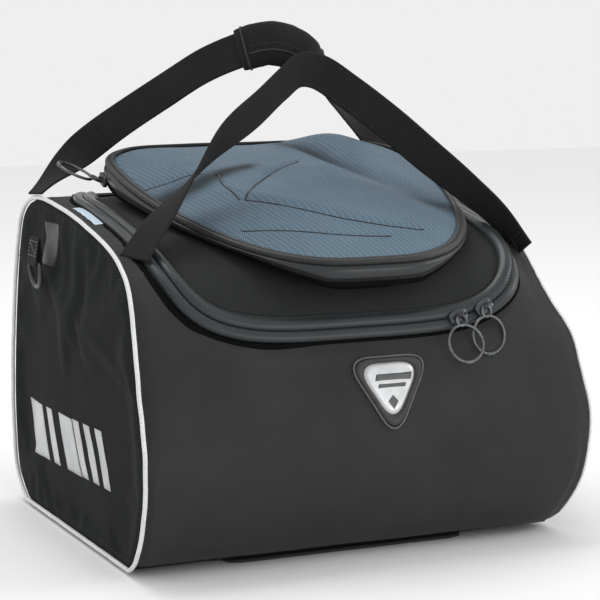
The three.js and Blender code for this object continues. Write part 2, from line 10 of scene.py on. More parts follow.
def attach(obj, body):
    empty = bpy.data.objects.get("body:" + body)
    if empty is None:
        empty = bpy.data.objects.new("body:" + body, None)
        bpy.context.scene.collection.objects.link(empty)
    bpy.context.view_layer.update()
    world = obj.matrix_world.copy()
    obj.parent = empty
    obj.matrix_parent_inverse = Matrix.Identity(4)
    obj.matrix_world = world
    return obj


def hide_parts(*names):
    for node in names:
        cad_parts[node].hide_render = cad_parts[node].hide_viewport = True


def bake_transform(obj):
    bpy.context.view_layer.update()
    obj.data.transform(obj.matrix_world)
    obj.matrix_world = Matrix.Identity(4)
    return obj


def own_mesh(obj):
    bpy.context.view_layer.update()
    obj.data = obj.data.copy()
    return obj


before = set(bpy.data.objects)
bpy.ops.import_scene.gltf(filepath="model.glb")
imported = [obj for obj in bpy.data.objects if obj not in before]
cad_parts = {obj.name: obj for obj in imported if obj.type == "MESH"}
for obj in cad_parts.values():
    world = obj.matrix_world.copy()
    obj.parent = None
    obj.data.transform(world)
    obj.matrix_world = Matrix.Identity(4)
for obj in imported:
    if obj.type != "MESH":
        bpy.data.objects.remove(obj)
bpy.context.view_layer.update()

MM = 0.001
SCENE = bpy.context.scene

# ---------- dimensions, the same as the CAD model's ----------
PANEL_EDGE = 192.3
SEAM_X = 195.0
PIPING_RADIUS = 1.8
MID_HEIGHT = 141.0
LEAN_ABOVE, LEAN_BELOW = 0.045, 0.024
BOTTOM = 2.8
WRAP_LINE = [(-100, BOTTOM), (-121, 14), (-146, 52), (-155, 100), (-144, 150), (-131, 193), (-114, 226),
             (-83, 246), (-12, 263), (70, 274), (136, 276), (159, 268), (170, 255), (172.5, 240)]
BACK_LINE = [(172.7, 239), (178, 165), (187, 75), (183, 24), (158, BOTTOM)]
ZIP_HALF_WIDTH, ZIP_SHIFT, ZIP_FRONT_Z, ZIP_REAR_Y, ZIP_END = 162.0, -6.0, 188.0, 126.0, 14.0
POCKET_SHIFT = 6.0
POCKET_PLAN = [(0, -143), (42, -140), (76, -124), (103, -94), (124, -50), (139, 5), (144, 60), (139, 98),
               (116, 119), (62, 125), (0, 125)]
POCKET_CENTRE = np.array([POCKET_SHIFT, 15.0])
REAR_STRAP = [(-189, 127, 280), (-154, 132, 309), (-124, 126, 333), (-83, 90, 368), (-57, 58, 391),
              (-31, 31, 405), (-12, 24, 409), (8, 24, 404), (28, 26, 391), (58, 52, 369), (92, 98, 353),
              (124, 127, 333), (154, 132, 309), (188, 126, 279)]
FRONT_STRAP = [(-177, -86, 246), (-158, -78, 268), (-138, -66, 286), (-111, -50, 308), (-84, -38, 332),
               (-44, -22, 357), (-14, -8, 377), (4, -1, 387), (21, 0, 385), (45, -6, 369), (79, -17, 342),
               (109, -31, 314), (134, -51, 289), (154, -73, 265), (170, -89, 237)]
WEBBING, WEBBING_THICK = 30.0, 2.0


# ---------- curves and surfaces ----------
def smooth(t):
    t = np.clip(t, 0, 1)
    return t * t * (3 - 2 * t)


def unit(v):
    return v / np.maximum(np.linalg.norm(v, axis=-1, keepdims=True), 1e-9)


def spline(points, closed=False, per=40):
    """Centripetal Catmull-Rom curve through the points."""
    p = np.asarray(points, float)
    ends = (p[-1:], p[:2]) if closed else (2 * p[:1] - p[1:2], 2 * p[-1:] - p[-2:-1])
    p = np.vstack([ends[0], p, ends[1]])
    t = np.linspace(0, 1, per, endpoint=False)[:, None]
    out = []
    for a, b, c, d in zip(p, p[1:], p[2:], p[3:]):
        ab, bc, cd = (max(np.linalg.norm(v), 1e-6) ** 0.5 for v in (b - a, c - b, d - c))
        m1 = ((b - a) / ab - (c - a) / (ab + bc) + (c - b) / bc) * bc
        m2 = ((c - b) / bc - (d - b) / (bc + cd) + (d - c) / cd) * bc
        out.append(b + m1 * t + (3 * (c - b) - 2 * m1 - m2) * t**2 + (2 * (b - c) + m1 + m2) * t**3)
    return np.vstack(out if closed else out + [p[-2:-1]])


def lengths(line):
    return np.r_[0, np.cumsum(np.linalg.norm(np.diff(line, axis=0), axis=1))]


def evenly(line, count, closed=False):
    """The line again, as points at equal spacing."""
    line = np.vstack([line, line[:1]]) if closed else np.asarray(line, float)
    d = lengths(line)
    at = np.linspace(0, d[-1], count + closed)[:count]
    return np.stack([np.interp(at, d, line[:, k]) for k in range(line.shape[1])], 1)


def along_of(line, closed=False):
    """Unit direction at each point of a line."""
    if closed:
        return unit(np.roll(line, -1, 0) - np.roll(line, 1, 0))
    return unit(np.gradient(line, axis=0))


def lattice(down, across):
    """Two arrays over a sheet, each from a span (first, last, count): one changes by row, one by column."""
    return np.meshgrid(np.linspace(*down), np.linspace(*across), indexing="ij")


def offset(loop, distance):
    """An anticlockwise outline moved outwards."""
    t = along_of(loop, True)
    return loop + np.stack([t[:, 1], -t[:, 0]], 1) * np.reshape(distance, (-1, 1))


def ripple(points, size, seed=0):
    """Smooth noise from -1 to 1 at each point."""
    flat = np.asarray(points, float).reshape(-1, np.shape(points)[-1])
    flat = np.pad(flat, ((0, 0), (0, 3 - flat.shape[1]))) / size + seed * 17.3
    return np.array([noise.noise(p) for p in flat.tolist()]).reshape(np.shape(points)[:-1])


def taper(z):
    return 1 - np.where(z > MID_HEIGHT, LEAN_ABOVE, LEAN_BELOW) * ((z - MID_HEIGHT) / MID_HEIGHT) ** 2


class Side:
    """The bag's outer surface over a side-view curve: x along the bag, s along the curve, h outwards."""

    def __init__(self, points):
        self.yz = evenly(spline(points), 1600)
        self.d = lengths(self.yz)
        self.length = self.d[-1]
        t = along_of(self.yz)
        self.normal = np.stack([-t[:, 1], t[:, 0]], 1)

    def at(self, x, s, h=0.0):
        x, s, h = np.broadcast_arrays(*(np.asarray(v, float) for v in (x, s, h)))
        y, z, ny, nz = (np.interp(s, self.d, v) for v in (*self.yz.T, *self.normal.T))
        return np.stack([x * taper(z), y + ny * h, z + nz * h], -1)

    def where(self, y, z):
        """Distance along the curve of its point nearest to (y, z)."""
        return self.d[np.argmin(np.hypot(self.yz[:, 0] - y, self.yz[:, 1] - z))]


WRAP, BACK = Side(WRAP_LINE), Side(BACK_LINE)
ZIP_FRONT = WRAP.d[np.argmax(WRAP.yz[:, 1] > ZIP_FRONT_Z)]
ZIP_REAR = WRAP.d[np.argmax(WRAP.yz[:, 0] > ZIP_REAR_Y)]
ZIP_MIDDLE, ZIP_HALF_DEPTH = (ZIP_FRONT + ZIP_REAR) / 2, (ZIP_REAR - ZIP_FRONT) / 2


def zip_outline(count):
    angle = math.pi / 2 + np.arange(160) * 2 * math.pi / 160
    power = np.where(np.sin(angle) > 0, 2 / 7, 2 / 4.1)
    u, v = (np.sign(w) * np.abs(w) ** power for w in (np.cos(angle), np.sin(angle)))
    dense = np.stack([ZIP_SHIFT + u * ZIP_HALF_WIDTH, ZIP_MIDDLE + v * ZIP_HALF_DEPTH], 1)
    return evenly(spline(dense, True, 8), count, True)


ZIP = zip_outline(288)
FRONT_RUN = np.flatnonzero(ZIP[:, 1] < ZIP_REAR - ZIP_END)
UPPER_DECK = WRAP.yz[WRAP.yz[:, 1] > 150]
SIDE_OUTLINE = evenly(spline(np.vstack([evenly(WRAP.yz, 31), evenly(BACK.yz, 15)[1:],
                                        [(100, BOTTOM), (30, BOTTOM), (-40, BOTTOM)]]), True, 12), 260, True)
SIDE_CENTRE = np.array([15.0, 140.0])
POCKET = evenly(spline([(x + POCKET_SHIFT, y) for x, y in
                        POCKET_PLAN + [(-x, y) for x, y in POCKET_PLAN[-2:0:-1]]], True), 300, True)


def deck_height(y):
    return np.interp(y, UPPER_DECK[:, 0], UPPER_DECK[:, 1])


def edge_height(y):
    return 246.3 + 0.28 * (y + 127)


def settle(p):
    """The right front corner has slumped: its shoulder sinks inwards and its lower half bulges."""
    x, y, z = np.moveaxis(np.asarray(p, float), -1, 0)
    drop = 17 * smooth((x - 118) / 72) * np.exp(-((np.hypot(y + 116, z - 228) / 52) ** 2))
    front = smooth((45 - y) / 95) * smooth((x - 148) / 44)
    lean = -11.0 * smooth((z - 160) / 72) + 5.5 * smooth((z - 6) / 46) * smooth((158 - z) / 60)
    return p + drop[..., None] * np.array([-0.1, 0.42, -0.9]) + np.stack([lean * front, 0 * x, 0 * x], -1)


# ---------- making meshes ----------
def grid_faces(rows, columns, wrap_rows=False, wrap_columns=False):
    r = np.arange(rows if wrap_rows else rows - 1)[:, None]
    c = np.arange(columns if wrap_columns else columns - 1)[None]
    a, b = r * columns + c, r * columns + (c + 1) % columns
    d, e = ((r + 1) % rows) * columns + c, ((r + 1) % rows) * columns + (c + 1) % columns
    return np.stack([a, b, e, d], -1).reshape(-1, 4)


def lay_uv(mesh, name, values):
    """A pair of values at each point, as a UV layer."""
    layer = mesh.uv_layers.new(name=name)
    index = np.empty(len(mesh.loops), int)
    mesh.loops.foreach_get("vertex_index", index)
    layer.data.foreach_set("uv", values.reshape(-1, 2)[index].ravel())


def facing(mesh):
    """Above zero if a sheet's faces look away from the middle of the bag."""
    count = len(mesh.polygons)
    normal, centre, area = np.empty(3 * count), np.empty(3 * count), np.empty(count)
    mesh.polygons.foreach_get("normal", normal)
    mesh.polygons.foreach_get("center", centre)
    mesh.polygons.foreach_get("area", area)
    out = centre.reshape(-1, 3) - np.array([0, 20, 140]) * MM
    return float(((normal.reshape(-1, 3) * out).sum(1) * area).sum())


def piece(name, points, faces, material, body=None, uv=None, replaces=(), solid=0.0):
    """A mesh piece from points in millimetres, riding on a body."""
    mesh = bpy.data.meshes.new(name)
    mesh.from_pydata((np.asarray(points, float).reshape(-1, 3) * MM).tolist(), [], [list(f) for f in faces])
    mesh.polygons.foreach_set("use_smooth", [True] * len(mesh.polygons))
    if solid and facing(mesh) < 0:
        mesh.flip_normals()
    if uv is not None:
        lay_uv(mesh, "cloth", np.asarray(uv, float) * MM)
    mesh.materials.append(material)
    obj = bpy.data.objects.new(name, mesh)
    SCENE.collection.objects.link(obj)
    if solid:
        shell = obj.modifiers.new("thickness", "SOLIDIFY")
        shell.thickness = solid * MM
        shell.offset = -1
    if replaces:
        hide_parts(*replaces)
    if body:
        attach(obj, body)
    return obj


def merged(parts):
    """Several (points, faces) as one."""
    points, faces, base = [], [], 0
    for p, f in parts:
        p = np.asarray(p, float).reshape(-1, 3)
        points.append(p)
        faces += [[i + base for i in face] for face in f]
        base += len(p)
    return np.vstack(points), faces


def capped(points, rows, columns):
    """A stack of closed loops, closed by a face at each end."""
    faces = grid_faces(rows, columns, False, True).tolist()
    faces.append(list(range(columns))[::-1])
    faces.append([(rows - 1) * columns + i for i in range(columns)])
    return points.reshape(-1, 3), faces


def frames_along(line, up, closed=False):
    """(across, out) directions at each point, out as near as it can be to the wanted direction."""
    t = along_of(line, closed)
    out = np.broadcast_to(np.asarray(up, float), t.shape)
    out = unit(out - (out * t).sum(1)[:, None] * t)
    return np.cross(t, out), out


def tube(line, radius, sides=10, closed=True, up=(0, 0, 1), flat=1.0):
    """A round or flattened rod along a line."""
    line = np.asarray(line, float)
    across, out = frames_along(line, up, closed)
    angle = np.arange(sides) * 2 * math.pi / sides
    cos, sin = np.cos(angle)[None, :, None], np.sin(angle)[None, :, None]
    ring = cos * across[:, None] + flat * sin * out[:, None]
    points = line[:, None] + ring * np.reshape(radius, (-1, 1, 1))
    if closed:
        return points.reshape(-1, 3), grid_faces(len(line), sides, True, True)
    return capped(points, len(line), sides)


def stitches(line, out, closed=False, pitch=3.4, long=2.3, radius=0.26, raised=0.12):
    """Separate thread stitches lying along a line on a surface."""
    count = max(int(lengths(np.asarray(line))[-1] / pitch), 2)
    joined = np.hstack([line, np.broadcast_to(out, np.shape(line))])
    joined = evenly(joined, count, closed)
    centre, normal = joined[:, :3], unit(joined[:, 3:])
    t = along_of(centre, closed)
    across = np.cross(t, normal)
    shape = np.array([(-0.5, 0, 0), (-0.3, 1, 0.3), (-0.3, 0, 1.3), (-0.3, -1, 0.3), (0.3, 1, 0.3),
                      (0.3, 0, 1.3), (0.3, -1, 0.3), (0.5, 0, 0)])
    points = (centre[:, None] + shape[None, :, :1] * long * t[:, None]
              + shape[None, :, 1:2] * radius * across[:, None]
              + (shape[None, :, 2:] * radius + raised - 0.2) * normal[:, None])
    one = [(0, 2, 1), (0, 3, 2), (0, 1, 3), (1, 2, 5, 4), (2, 3, 6, 5), (3, 1, 4, 6), (4, 5, 7), (5, 6, 7),
           (6, 4, 7)]
    faces = [[8 * i + k for k in f] for i in range(len(centre)) for f in one]
    return points.reshape(-1, 3), faces


def inflate(points, faces, pinned, pressure=2.0, cap=5.0, frames=20):
    """Lets a cloth panel swell under pressure between its pinned edges, and returns the new points."""
    shape = np.shape(points)
    points = np.asarray(points, float).reshape(-1, 3)
    mesh = bpy.data.meshes.new("cloth")
    mesh.from_pydata((points * MM).tolist(), [], [list(f) for f in faces])
    obj = bpy.data.objects.new("cloth", mesh)
    SCENE.collection.objects.link(obj)
    group = obj.vertex_groups.new(name="sewn")
    group.add([int(i) for i in np.flatnonzero(np.ravel(pinned))], 1.0, "REPLACE")
    cloth = obj.modifiers.new("cloth", "CLOTH")
    settings = cloth.settings
    settings.quality = 6
    settings.mass = 0.3
    settings.tension_stiffness = settings.compression_stiffness = 25
    settings.shear_stiffness = 12
    settings.bending_stiffness = 4
    settings.shrink_min = -0.012
    settings.use_pressure = True
    settings.uniform_pressure_force = pressure
    settings.effector_weights.gravity = 0
    settings.vertex_group_mass = "sewn"
    cloth.collision_settings.use_collision = False
    for f in range(1, frames + 1):
        SCENE.frame_set(f)
    ready = obj.evaluated_get(bpy.context.evaluated_depsgraph_get()).data
    moved = np.empty(len(points) * 3)
    ready.vertices.foreach_get("co", moved)
    bpy.data.objects.remove(obj)
    SCENE.frame_set(1)
    step = moved.reshape(-1, 3) / MM - points
    far = np.linalg.norm(step, axis=1, keepdims=True)
    return (points + step * np.minimum(1, cap / np.maximum(far, 1e-9))).reshape(shape)


def patch(outline, centre, n):
    """A grid of points that fills an outline, and each point's share of the way out from the centre."""
    u, v = np.meshgrid(np.linspace(-1, 1, n + 1), np.linspace(-1, 1, n + 1))
    share = np.maximum(abs(u), abs(v))
    s, t = u / np.maximum(share, 1e-9), v / np.maximum(share, 1e-9)
    near = 1 - 1e-9
    walk = np.select([t <= -near, s >= near, t >= near],
                     [(s + 1) / 2, (t + 3) / 2, (5 - s) / 2], (7 - t) / 2)
    at = walk / 4 % 1 * len(outline)
    closed = np.vstack([outline, outline[:1]])
    edge = np.stack([np.interp(at, np.arange(len(closed)), closed[:, k]) for k in (0, 1)], -1)
    return centre + (edge - centre) * share[..., None], share


def band(rows, closed=True):
    """Points and faces of a band whose rows are lines of equal length, from one edge to the other."""
    points = np.stack(rows, 1)
    return points, grid_faces(len(points), len(rows), closed, False)


def band_uv(points):
    """Lengths along and across a band, for its weave."""
    middle = points[:, points.shape[1] // 2]
    across = np.median(np.linalg.norm(np.diff(points, axis=1), axis=2), 0)
    u, v = np.meshgrid(np.r_[0, np.cumsum(across)], lengths(middle))
    return np.stack([v, u], -1)


def blocks(line, out, pitch, size, shift=0.0, raised=0.0, closed=False):
    """Small chamfered blocks along a line, such as zip teeth. size is (along, across, height)."""
    count = max(int(lengths(line)[-1] / pitch), 2)
    joined = evenly(np.hstack([line, np.broadcast_to(out, np.shape(line))]), count, closed)
    centre, normal = joined[:, :3], unit(joined[:, 3:])
    t = along_of(centre, closed)
    across = np.cross(t, normal)
    side = np.where(np.arange(count) % 2, shift, -shift)[:, None, None]
    low = [(-0.5, -0.5, 0), (0.5, -0.5, 0), (0.5, 0.5, 0), (-0.5, 0.5, 0)]
    mid = [(a, b, 0.65) for a, b, _ in low]
    top = [(a * 0.5, b * 0.8, 1) for a, b, _ in low]
    shape = np.array(low + mid + top) * size
    points = (centre[:, None] + shape[None, :, :1] * t[:, None]
              + (shape[None, :, 1:2] + side) * across[:, None]
              + (shape[None, :, 2:] + raised) * normal[:, None])
    one = [(k + i, k + (i + 1) % 4, k + 4 + (i + 1) % 4, k + 4 + i) for k in (0, 4) for i in range(4)]
    one.append((8, 9, 10, 11))
    return points.reshape(-1, 3), [[12 * i + k for k in f] for i in range(count) for f in one]


def in_frame(points, origin, along, outward):
    """Points of a small part, moved to its origin, its x along and its z outward."""
    z = unit(np.asarray(outward, float))
    x = np.asarray(along, float)
    x = unit(x - z * (x @ z))
    return np.asarray(origin) + np.asarray(points, float) @ np.stack([x, np.cross(z, x), z])


def turned(points, tilt, turn):
    """Points turned about z and then about x."""
    return np.asarray(points) @ np.array(Matrix.Rotation(tilt, 3, "X") @ Matrix.Rotation(turn, 3, "Z")).T


# ---------- materials ----------
class Look:
    """A node material. Numbers go straight onto the shader, and patterns come from its nodes."""

    def __init__(self, name, rough, metal=0.0, sheen=0.0, coat=0.0, specular=0.4):
        self.material = bpy.data.materials.new(name)
        self.material.use_nodes = True
        self.tree = self.material.node_tree
        self.shader = self.tree.nodes["Principled BSDF"]
        for socket, value in (("Roughness", rough), ("Metallic", metal), ("Sheen Weight", sheen),
                              ("Coat Weight", coat), ("Specular IOR Level", specular)):
            self.shader.inputs[socket].default_value = value
        self.shader.inputs["Sheen Roughness"].default_value = 0.45
        self.shader.inputs["Coat Roughness"].default_value = 0.3

    def node(self, kind, values=(), **settings):
        made = self.tree.nodes.new("ShaderNode" + kind)
        for key, value in settings.items():
            setattr(made, key, value)
        for socket, value in dict(values).items():
            if isinstance(value, bpy.types.NodeSocket):
                self.tree.links.new(value, made.inputs[socket])
            else:
                made.inputs[socket].default_value = value
        return made

    def math(self, operation, *values):
        return self.node("Math", dict(enumerate(values)), operation=operation).outputs[0]

    def times(self, a, b):
        return self.math("MULTIPLY", a, b)

    def uv(self, name):
        return self.node("UVMap", uv_map=name).outputs[0]

    def object_space(self):
        return self.node("TexCoord").outputs["Object"]

    def noise(self, size, detail=3.0):
        values = {"Vector": self.object_space(), "Scale": 1 / (size * MM), "Detail": detail}
        return self.node("TexNoise", values).outputs[0]

    def mixed(self, factor, a, b):
        made = self.node("Mix", {0: factor}, data_type="RGBA")
        for socket, value in ((made.inputs[6], a), (made.inputs[7], b)):
            if isinstance(value, bpy.types.NodeSocket):
                self.tree.links.new(value, socket)
            else:
                socket.default_value = (*value, 1)
        return made.outputs[2]

    def spread(self, value, low, high):
        """The value's middle range as low to high."""
        return self.node("MapRange", {0: value, 1: 0.3, 2: 0.7, 3: low, 4: high}).outputs[0]

    def yarns(self, pitch_u, pitch_v, turn=0.0):
        """Phases of the two yarn directions."""
        space = self.uv("cloth")
        if turn:
            values = {"Vector": space, "Angle": turn}
            space = self.node("VectorRotate", values, rotation_type="Z_AXIS").outputs[0]
        apart = self.node("SeparateXYZ", {0: space}).outputs
        return self.times(apart[0], 1 / (pitch_u * MM)), self.times(apart[1], 1 / (pitch_v * MM))

    def swing(self, phase):
        return self.math("SINE", self.times(phase, math.pi))

    def ridge(self, phase):
        """One rounded ridge to each yarn."""
        return self.math("ABSOLUTE", self.swing(phase))

    def relief(self, height, depth, strength):
        values = {"Height": height, "Distance": depth * MM, "Strength": strength}
        return self.node("Bump", values).outputs[0]

    def wear(self):
        """Brighter where edges stick out."""
        return self.node("MapRange", {0: self.node("NewGeometry").outputs["Pointiness"],
                                      1: 0.5, 2: 0.58, 3: 0.0, 4: 1.0}).outputs[0]

    def uneven(self, pattern, change=0.08):
        """Roughness that follows a pattern."""
        rough = self.shader.inputs["Roughness"].default_value
        return self.spread(pattern, max(0.05, rough - change), min(1, rough + change))

    def finish(self, color, rough=None, normal=None):
        for socket, value in (("Base Color", color), ("Roughness", rough), ("Normal", normal)):
            if value is not None:
                self.tree.links.new(value, self.shader.inputs[socket])
        return self.material


def tinted(color, share):
    return tuple(c * share for c in color)


def woven(name, dark, light, rough, pitch=0.9, depth=0.12, sheen=0.25, tone=0.22, specular=0.35):
    """Plain-woven nylon: crossing yarns, slubs, a slight change of tone over the panel, and rubbed edges."""
    look = Look(name, rough, sheen=sheen, specular=specular)
    u, v = look.yarns(pitch, pitch)
    weave = look.math("MULTIPLY_ADD", look.times(look.swing(u), look.swing(v)), 0.5, 0.5)
    slub = look.noise(1.6, 2.0)
    cloud = look.noise(70)
    yarn = look.mixed(look.times(weave, look.spread(slub, 0.55, 1.0)), dark, light)
    toned = look.mixed(look.spread(cloud, 0.0, tone), yarn, tinted(light, 1.7))
    worn = look.mixed(look.times(look.wear(), 0.35), toned, tinted(light, 2.2))
    height = look.math("ADD", weave, look.times(slub, 0.8))
    return look.finish(worn, look.uneven(slub), look.relief(height, depth, 0.8))


def twill(name, dark, light, pitch, rough):
    """A coarse textile in diagonal blocks: over two yarns, under two, darkened by a painted shade layer."""
    look = Look(name, rough, specular=0.2)
    u, v = look.yarns(pitch, pitch, 0.5)
    cell = look.math("ADD", look.math("FLOOR", u), look.math("FLOOR", v))
    over = look.math("LESS_THAN", look.math("FLOORED_MODULO", cell, 4.0), 2.0)
    under = look.math("SUBTRACT", 1.0, over)
    lower = look.times(look.times(under, look.ridge(v)), 0.55)
    height = look.math("ADD", look.times(over, look.ridge(u)), lower)
    cloud = look.noise(60)
    base = look.mixed(height, dark, light)
    toned = look.mixed(look.spread(cloud, 0.0, 0.3), base, tinted(light, 1.12))
    # Painted shade: a share read from a UV layer darkens the textile where shade falls on the cover.
    pressed = look.node("SeparateXYZ", {0: look.uv("pressed")}).outputs[0]
    toned = look.mixed(pressed, toned, tinted(dark, 0.2))
    grain = look.noise(0.7, 2.0)
    return look.finish(toned, look.spread(grain, rough - 0.1, rough + 0.12), look.relief(height, 0.22, 0.7))


def ribbed(name, dark, light, rough, across=1.5, along=2.2, depth=0.2, sheen=0.2, coat=0.0, chevron=0.0,
           specular=0.25):
    """Tape or webbing: ribs that run along it, crossed by the weft."""
    look = Look(name, rough, sheen=sheen, coat=coat, specular=specular)
    u, v = look.yarns(across, along)
    if chevron:
        u = look.math("ADD", u, look.times(look.math("PINGPONG", v, 3.0), chevron))
    height = look.math("ADD", look.times(look.ridge(u), 0.7), look.times(look.ridge(v), 0.3))
    fuzz = look.noise(0.8, 2.0)
    cloud = look.noise(35, 2.0)
    color = look.mixed(look.times(height, look.spread(fuzz, 0.6, 1.0)), dark, light)
    worn = look.mixed(look.spread(cloud, 0.0, 0.18), color, tinted(light, 1.9))
    return look.finish(worn, look.uneven(fuzz), look.relief(height, depth, 0.8))


def moulded(name, dark, light, rough, metal=0.0, coat=0.0, grain=0.35, depth=0.03):
    """Plastic, rubber or plated metal: fine grain, faint blotches and brighter rubbed edges."""
    look = Look(name, rough, metal=metal, coat=coat, specular=0.5)
    fine = look.noise(grain)
    cloud = look.noise(9)
    color = look.mixed(look.spread(cloud, 0.0, 0.8), dark, light)
    worn = look.mixed(look.wear(), color, tuple(min(1, c * 2.0) for c in light))
    return look.finish(worn, look.uneven(fine, 0.1), look.relief(fine, depth, 0.5))


def speckled(name, dark, light, rough):
    """Reflective tape: tiny glass beads in rows under a clear film."""
    look = Look(name, rough, coat=0.4, specular=0.6)
    cells = look.node("TexVoronoi", {"Vector": look.object_space(), "Scale": 900.0}).outputs[0]
    cloud = look.noise(25)
    color = look.mixed(look.spread(cloud, 0.0, 0.6), light, dark)
    beaded = look.mixed(look.spread(cells, 0.0, 0.5), color, tinted(dark, 0.75))
    return look.finish(beaded, look.uneven(cloud, 0.1), look.relief(cells, 0.05, 0.6))


NYLON = woven("front_nylon", (0.0115, 0.012, 0.0121), (0.0285, 0.0298, 0.0302), 0.75,
              pitch=1.15, depth=0.18, sheen=0.05, specular=0.28)
END_NYLON = woven("end_nylon", (0.006, 0.0066, 0.007), (0.015, 0.0165, 0.0172), 0.8,
                  depth=0.1, sheen=0.0, tone=0.25, specular=0.12)
# The lid's nylon is the front nylon at about two thirds the brightness: painted shade for the pocket's shadow
# on the lid.
SHADED_LID_NYLON = woven("lid_nylon_painted_shade", (0.0075, 0.008, 0.0082), (0.019, 0.0203, 0.021), 0.78,
                  pitch=1.15, depth=0.18, sheen=0.03, specular=0.22)
GRIP = woven("grip_fabric", (0.005, 0.0051, 0.0053), (0.012, 0.0123, 0.0127), 0.85,
             pitch=1.6, depth=0.3, sheen=0.04, specular=0.25)
LINING = woven("lining", (0.17, 0.18, 0.19), (0.27, 0.28, 0.30), 0.75,
               pitch=0.6, depth=0.06, sheen=0.2, tone=0.15)
LABEL = woven("label_weave", (0.36, 0.48, 0.57), (0.56, 0.68, 0.77), 0.7,
              pitch=0.5, depth=0.05, sheen=0.2, tone=0.1)
BLUE = twill("blue_textile", (0.040, 0.070, 0.097), (0.140, 0.205, 0.258), 1.7, 0.6)
TAPE = ribbed("zip_tape", (0.011, 0.013, 0.0142), (0.027, 0.0325, 0.0362), 0.36,
              across=1.1, along=1.6, depth=0.05, sheen=0.08, coat=0.25)
# Near-black gusset and tape fabric: the gusset's own black, made darker still as painted shade under the
# pocket's roll.
WALL_AND_SHADE = ribbed("pocket_wall", (0.0015, 0.0016, 0.0017), (0.0045, 0.0047, 0.005), 0.9,
              across=1.4, along=1.4, depth=0.15, sheen=0.0, specular=0.06)
ROLL = ribbed("pocket_roll", (0.008, 0.0092, 0.010), (0.020, 0.0232, 0.0255), 0.34,
              across=1.1, along=1.6, depth=0.04, sheen=0.05, coat=0.35)
WEB = ribbed("webbing", (0.0055, 0.0055, 0.0056), (0.0165, 0.0165, 0.0168), 0.85,
             across=2.0, along=1.3, depth=0.3, sheen=0.0, chevron=0.35)
BINDING = ribbed("edge_binding", (0.010, 0.0105, 0.011), (0.026, 0.027, 0.028), 0.5,
                 across=1.6, along=1.0, depth=0.12, sheen=0.15, coat=0.15)
THREAD = ribbed("thread", (0.010, 0.011, 0.0115), (0.026, 0.028, 0.029), 0.7,
                across=0.3, along=0.3, depth=0.03)
GREY_THREAD = moulded("grey_thread", (0.10, 0.105, 0.11), (0.17, 0.175, 0.18), 0.65, grain=0.4)
GREY_CORD = moulded("badge_cord", (0.055, 0.058, 0.062), (0.10, 0.104, 0.108), 0.5, coat=0.15, grain=0.8)
PIPING = speckled("reflective_piping", (0.62, 0.63, 0.63), (0.86, 0.87, 0.87), 0.42)
PRINT = speckled("reflective_print", (0.42, 0.43, 0.44), (0.62, 0.63, 0.64), 0.45)
COIL = moulded("zip_coil", (0.010, 0.010, 0.011), (0.022, 0.023, 0.024), 0.4)
RUBBER = moulded("rubber_pad", (0.009, 0.0095, 0.010), (0.018, 0.019, 0.019), 0.75, grain=1.2, depth=0.12)
BOARD = moulded("board", (0.06, 0.061, 0.063), (0.10, 0.102, 0.105), 0.7, grain=1.0, depth=0.06)
BADGE = moulded("badge_rubber", (0.014, 0.015, 0.016), (0.028, 0.029, 0.030), 0.5)
SILVER = moulded("badge_silver", (0.44, 0.45, 0.46), (0.60, 0.61, 0.62), 0.34,
                 metal=0.45, coat=0.3, grain=0.25, depth=0.02)
ENAMEL = moulded("badge_enamel", (0.018, 0.019, 0.021), (0.04, 0.042, 0.045), 0.3, coat=0.5)
METAL = moulded("gunmetal", (0.09, 0.094, 0.10), (0.17, 0.176, 0.182), 0.34, metal=0.85, coat=0.1)
DARK_METAL = moulded("slider_metal", (0.022, 0.023, 0.025), (0.05, 0.052, 0.055), 0.38, metal=0.7, coat=0.15)
PLASTIC = moulded("ring_plastic", (0.012, 0.012, 0.013), (0.022, 0.023, 0.024), 0.38, coat=0.1)


# ---------- the sewn shell ----------
def zip_ring(distance, h):
    """A line beside the zip's run, at a distance outwards from its middle and a height over the panels."""
    every = np.zeros(len(ZIP))
    every[FRONT_RUN] = distance
    x, s = offset(ZIP, every)[FRONT_RUN].T
    return WRAP.at(x, s, h)


def side_point(x, y, z):
    """Points on a plane across the bag, x measured before the ends lean in."""
    return np.stack([x * taper(z), y, z], -1)


def sewn(name, line, out, body, closed=False, pitch=3.4):
    """A row of stitches as its own piece."""
    points, faces = stitches(line, out, closed, pitch)
    return piece(name, points, faces, THREAD, body)


CENTRE = np.array([ZIP_SHIFT, ZIP_MIDDLE])
# The badge's middle as (x, s), and the height of the flat place it sits on.
BADGE_X, BADGE_S = 14.0, WRAP.d[np.argmax(WRAP.yz[:, 1] > 139.0)]
BADGE_SEAT = 3.2
SHELL_THICK = 2.4


def wrap_height(flat):
    """How far the padded wrap stands out at (x, s): crown, sag, and puckers along the end seams."""
    x, s = flat[..., 0], flat[..., 1]
    edge = np.clip((PANEL_EDGE - abs(x)) / 14, 0, 1)
    ends = np.clip(np.minimum(s, WRAP.length - s) / 14, 0, 1)
    sag = 2.3 * ripple(flat, 105, 1) + 0.9 * ripple(flat * (1, 0.6), 44, 2) + 0.3 * ripple(flat, 17, 3)
    pucker = np.sin(s / 2.1 + 3 * ripple(s[..., None], 30, 5)) * 0.4 * (1 - edge) ** 0.5
    crown = 3.4 * (1 - (abs(x) / PANEL_EDGE) ** 4) * smooth(s / 120) * smooth((ZIP_FRONT - s) / 60 + 0.4)
    rolled = np.where(x > 0, 1.2, 2.0) * (1 - smooth(edge)) ** 2
    stiff = smooth((72 - np.hypot(x - BADGE_X, s - BADGE_S)) / 24)
    loose = (crown + sag) * smooth(edge) * smooth(ends) + pucker - rolled - 1.2 * (1 - smooth(ends))
    return loose * (1 - stiff) + BADGE_SEAT * stiff


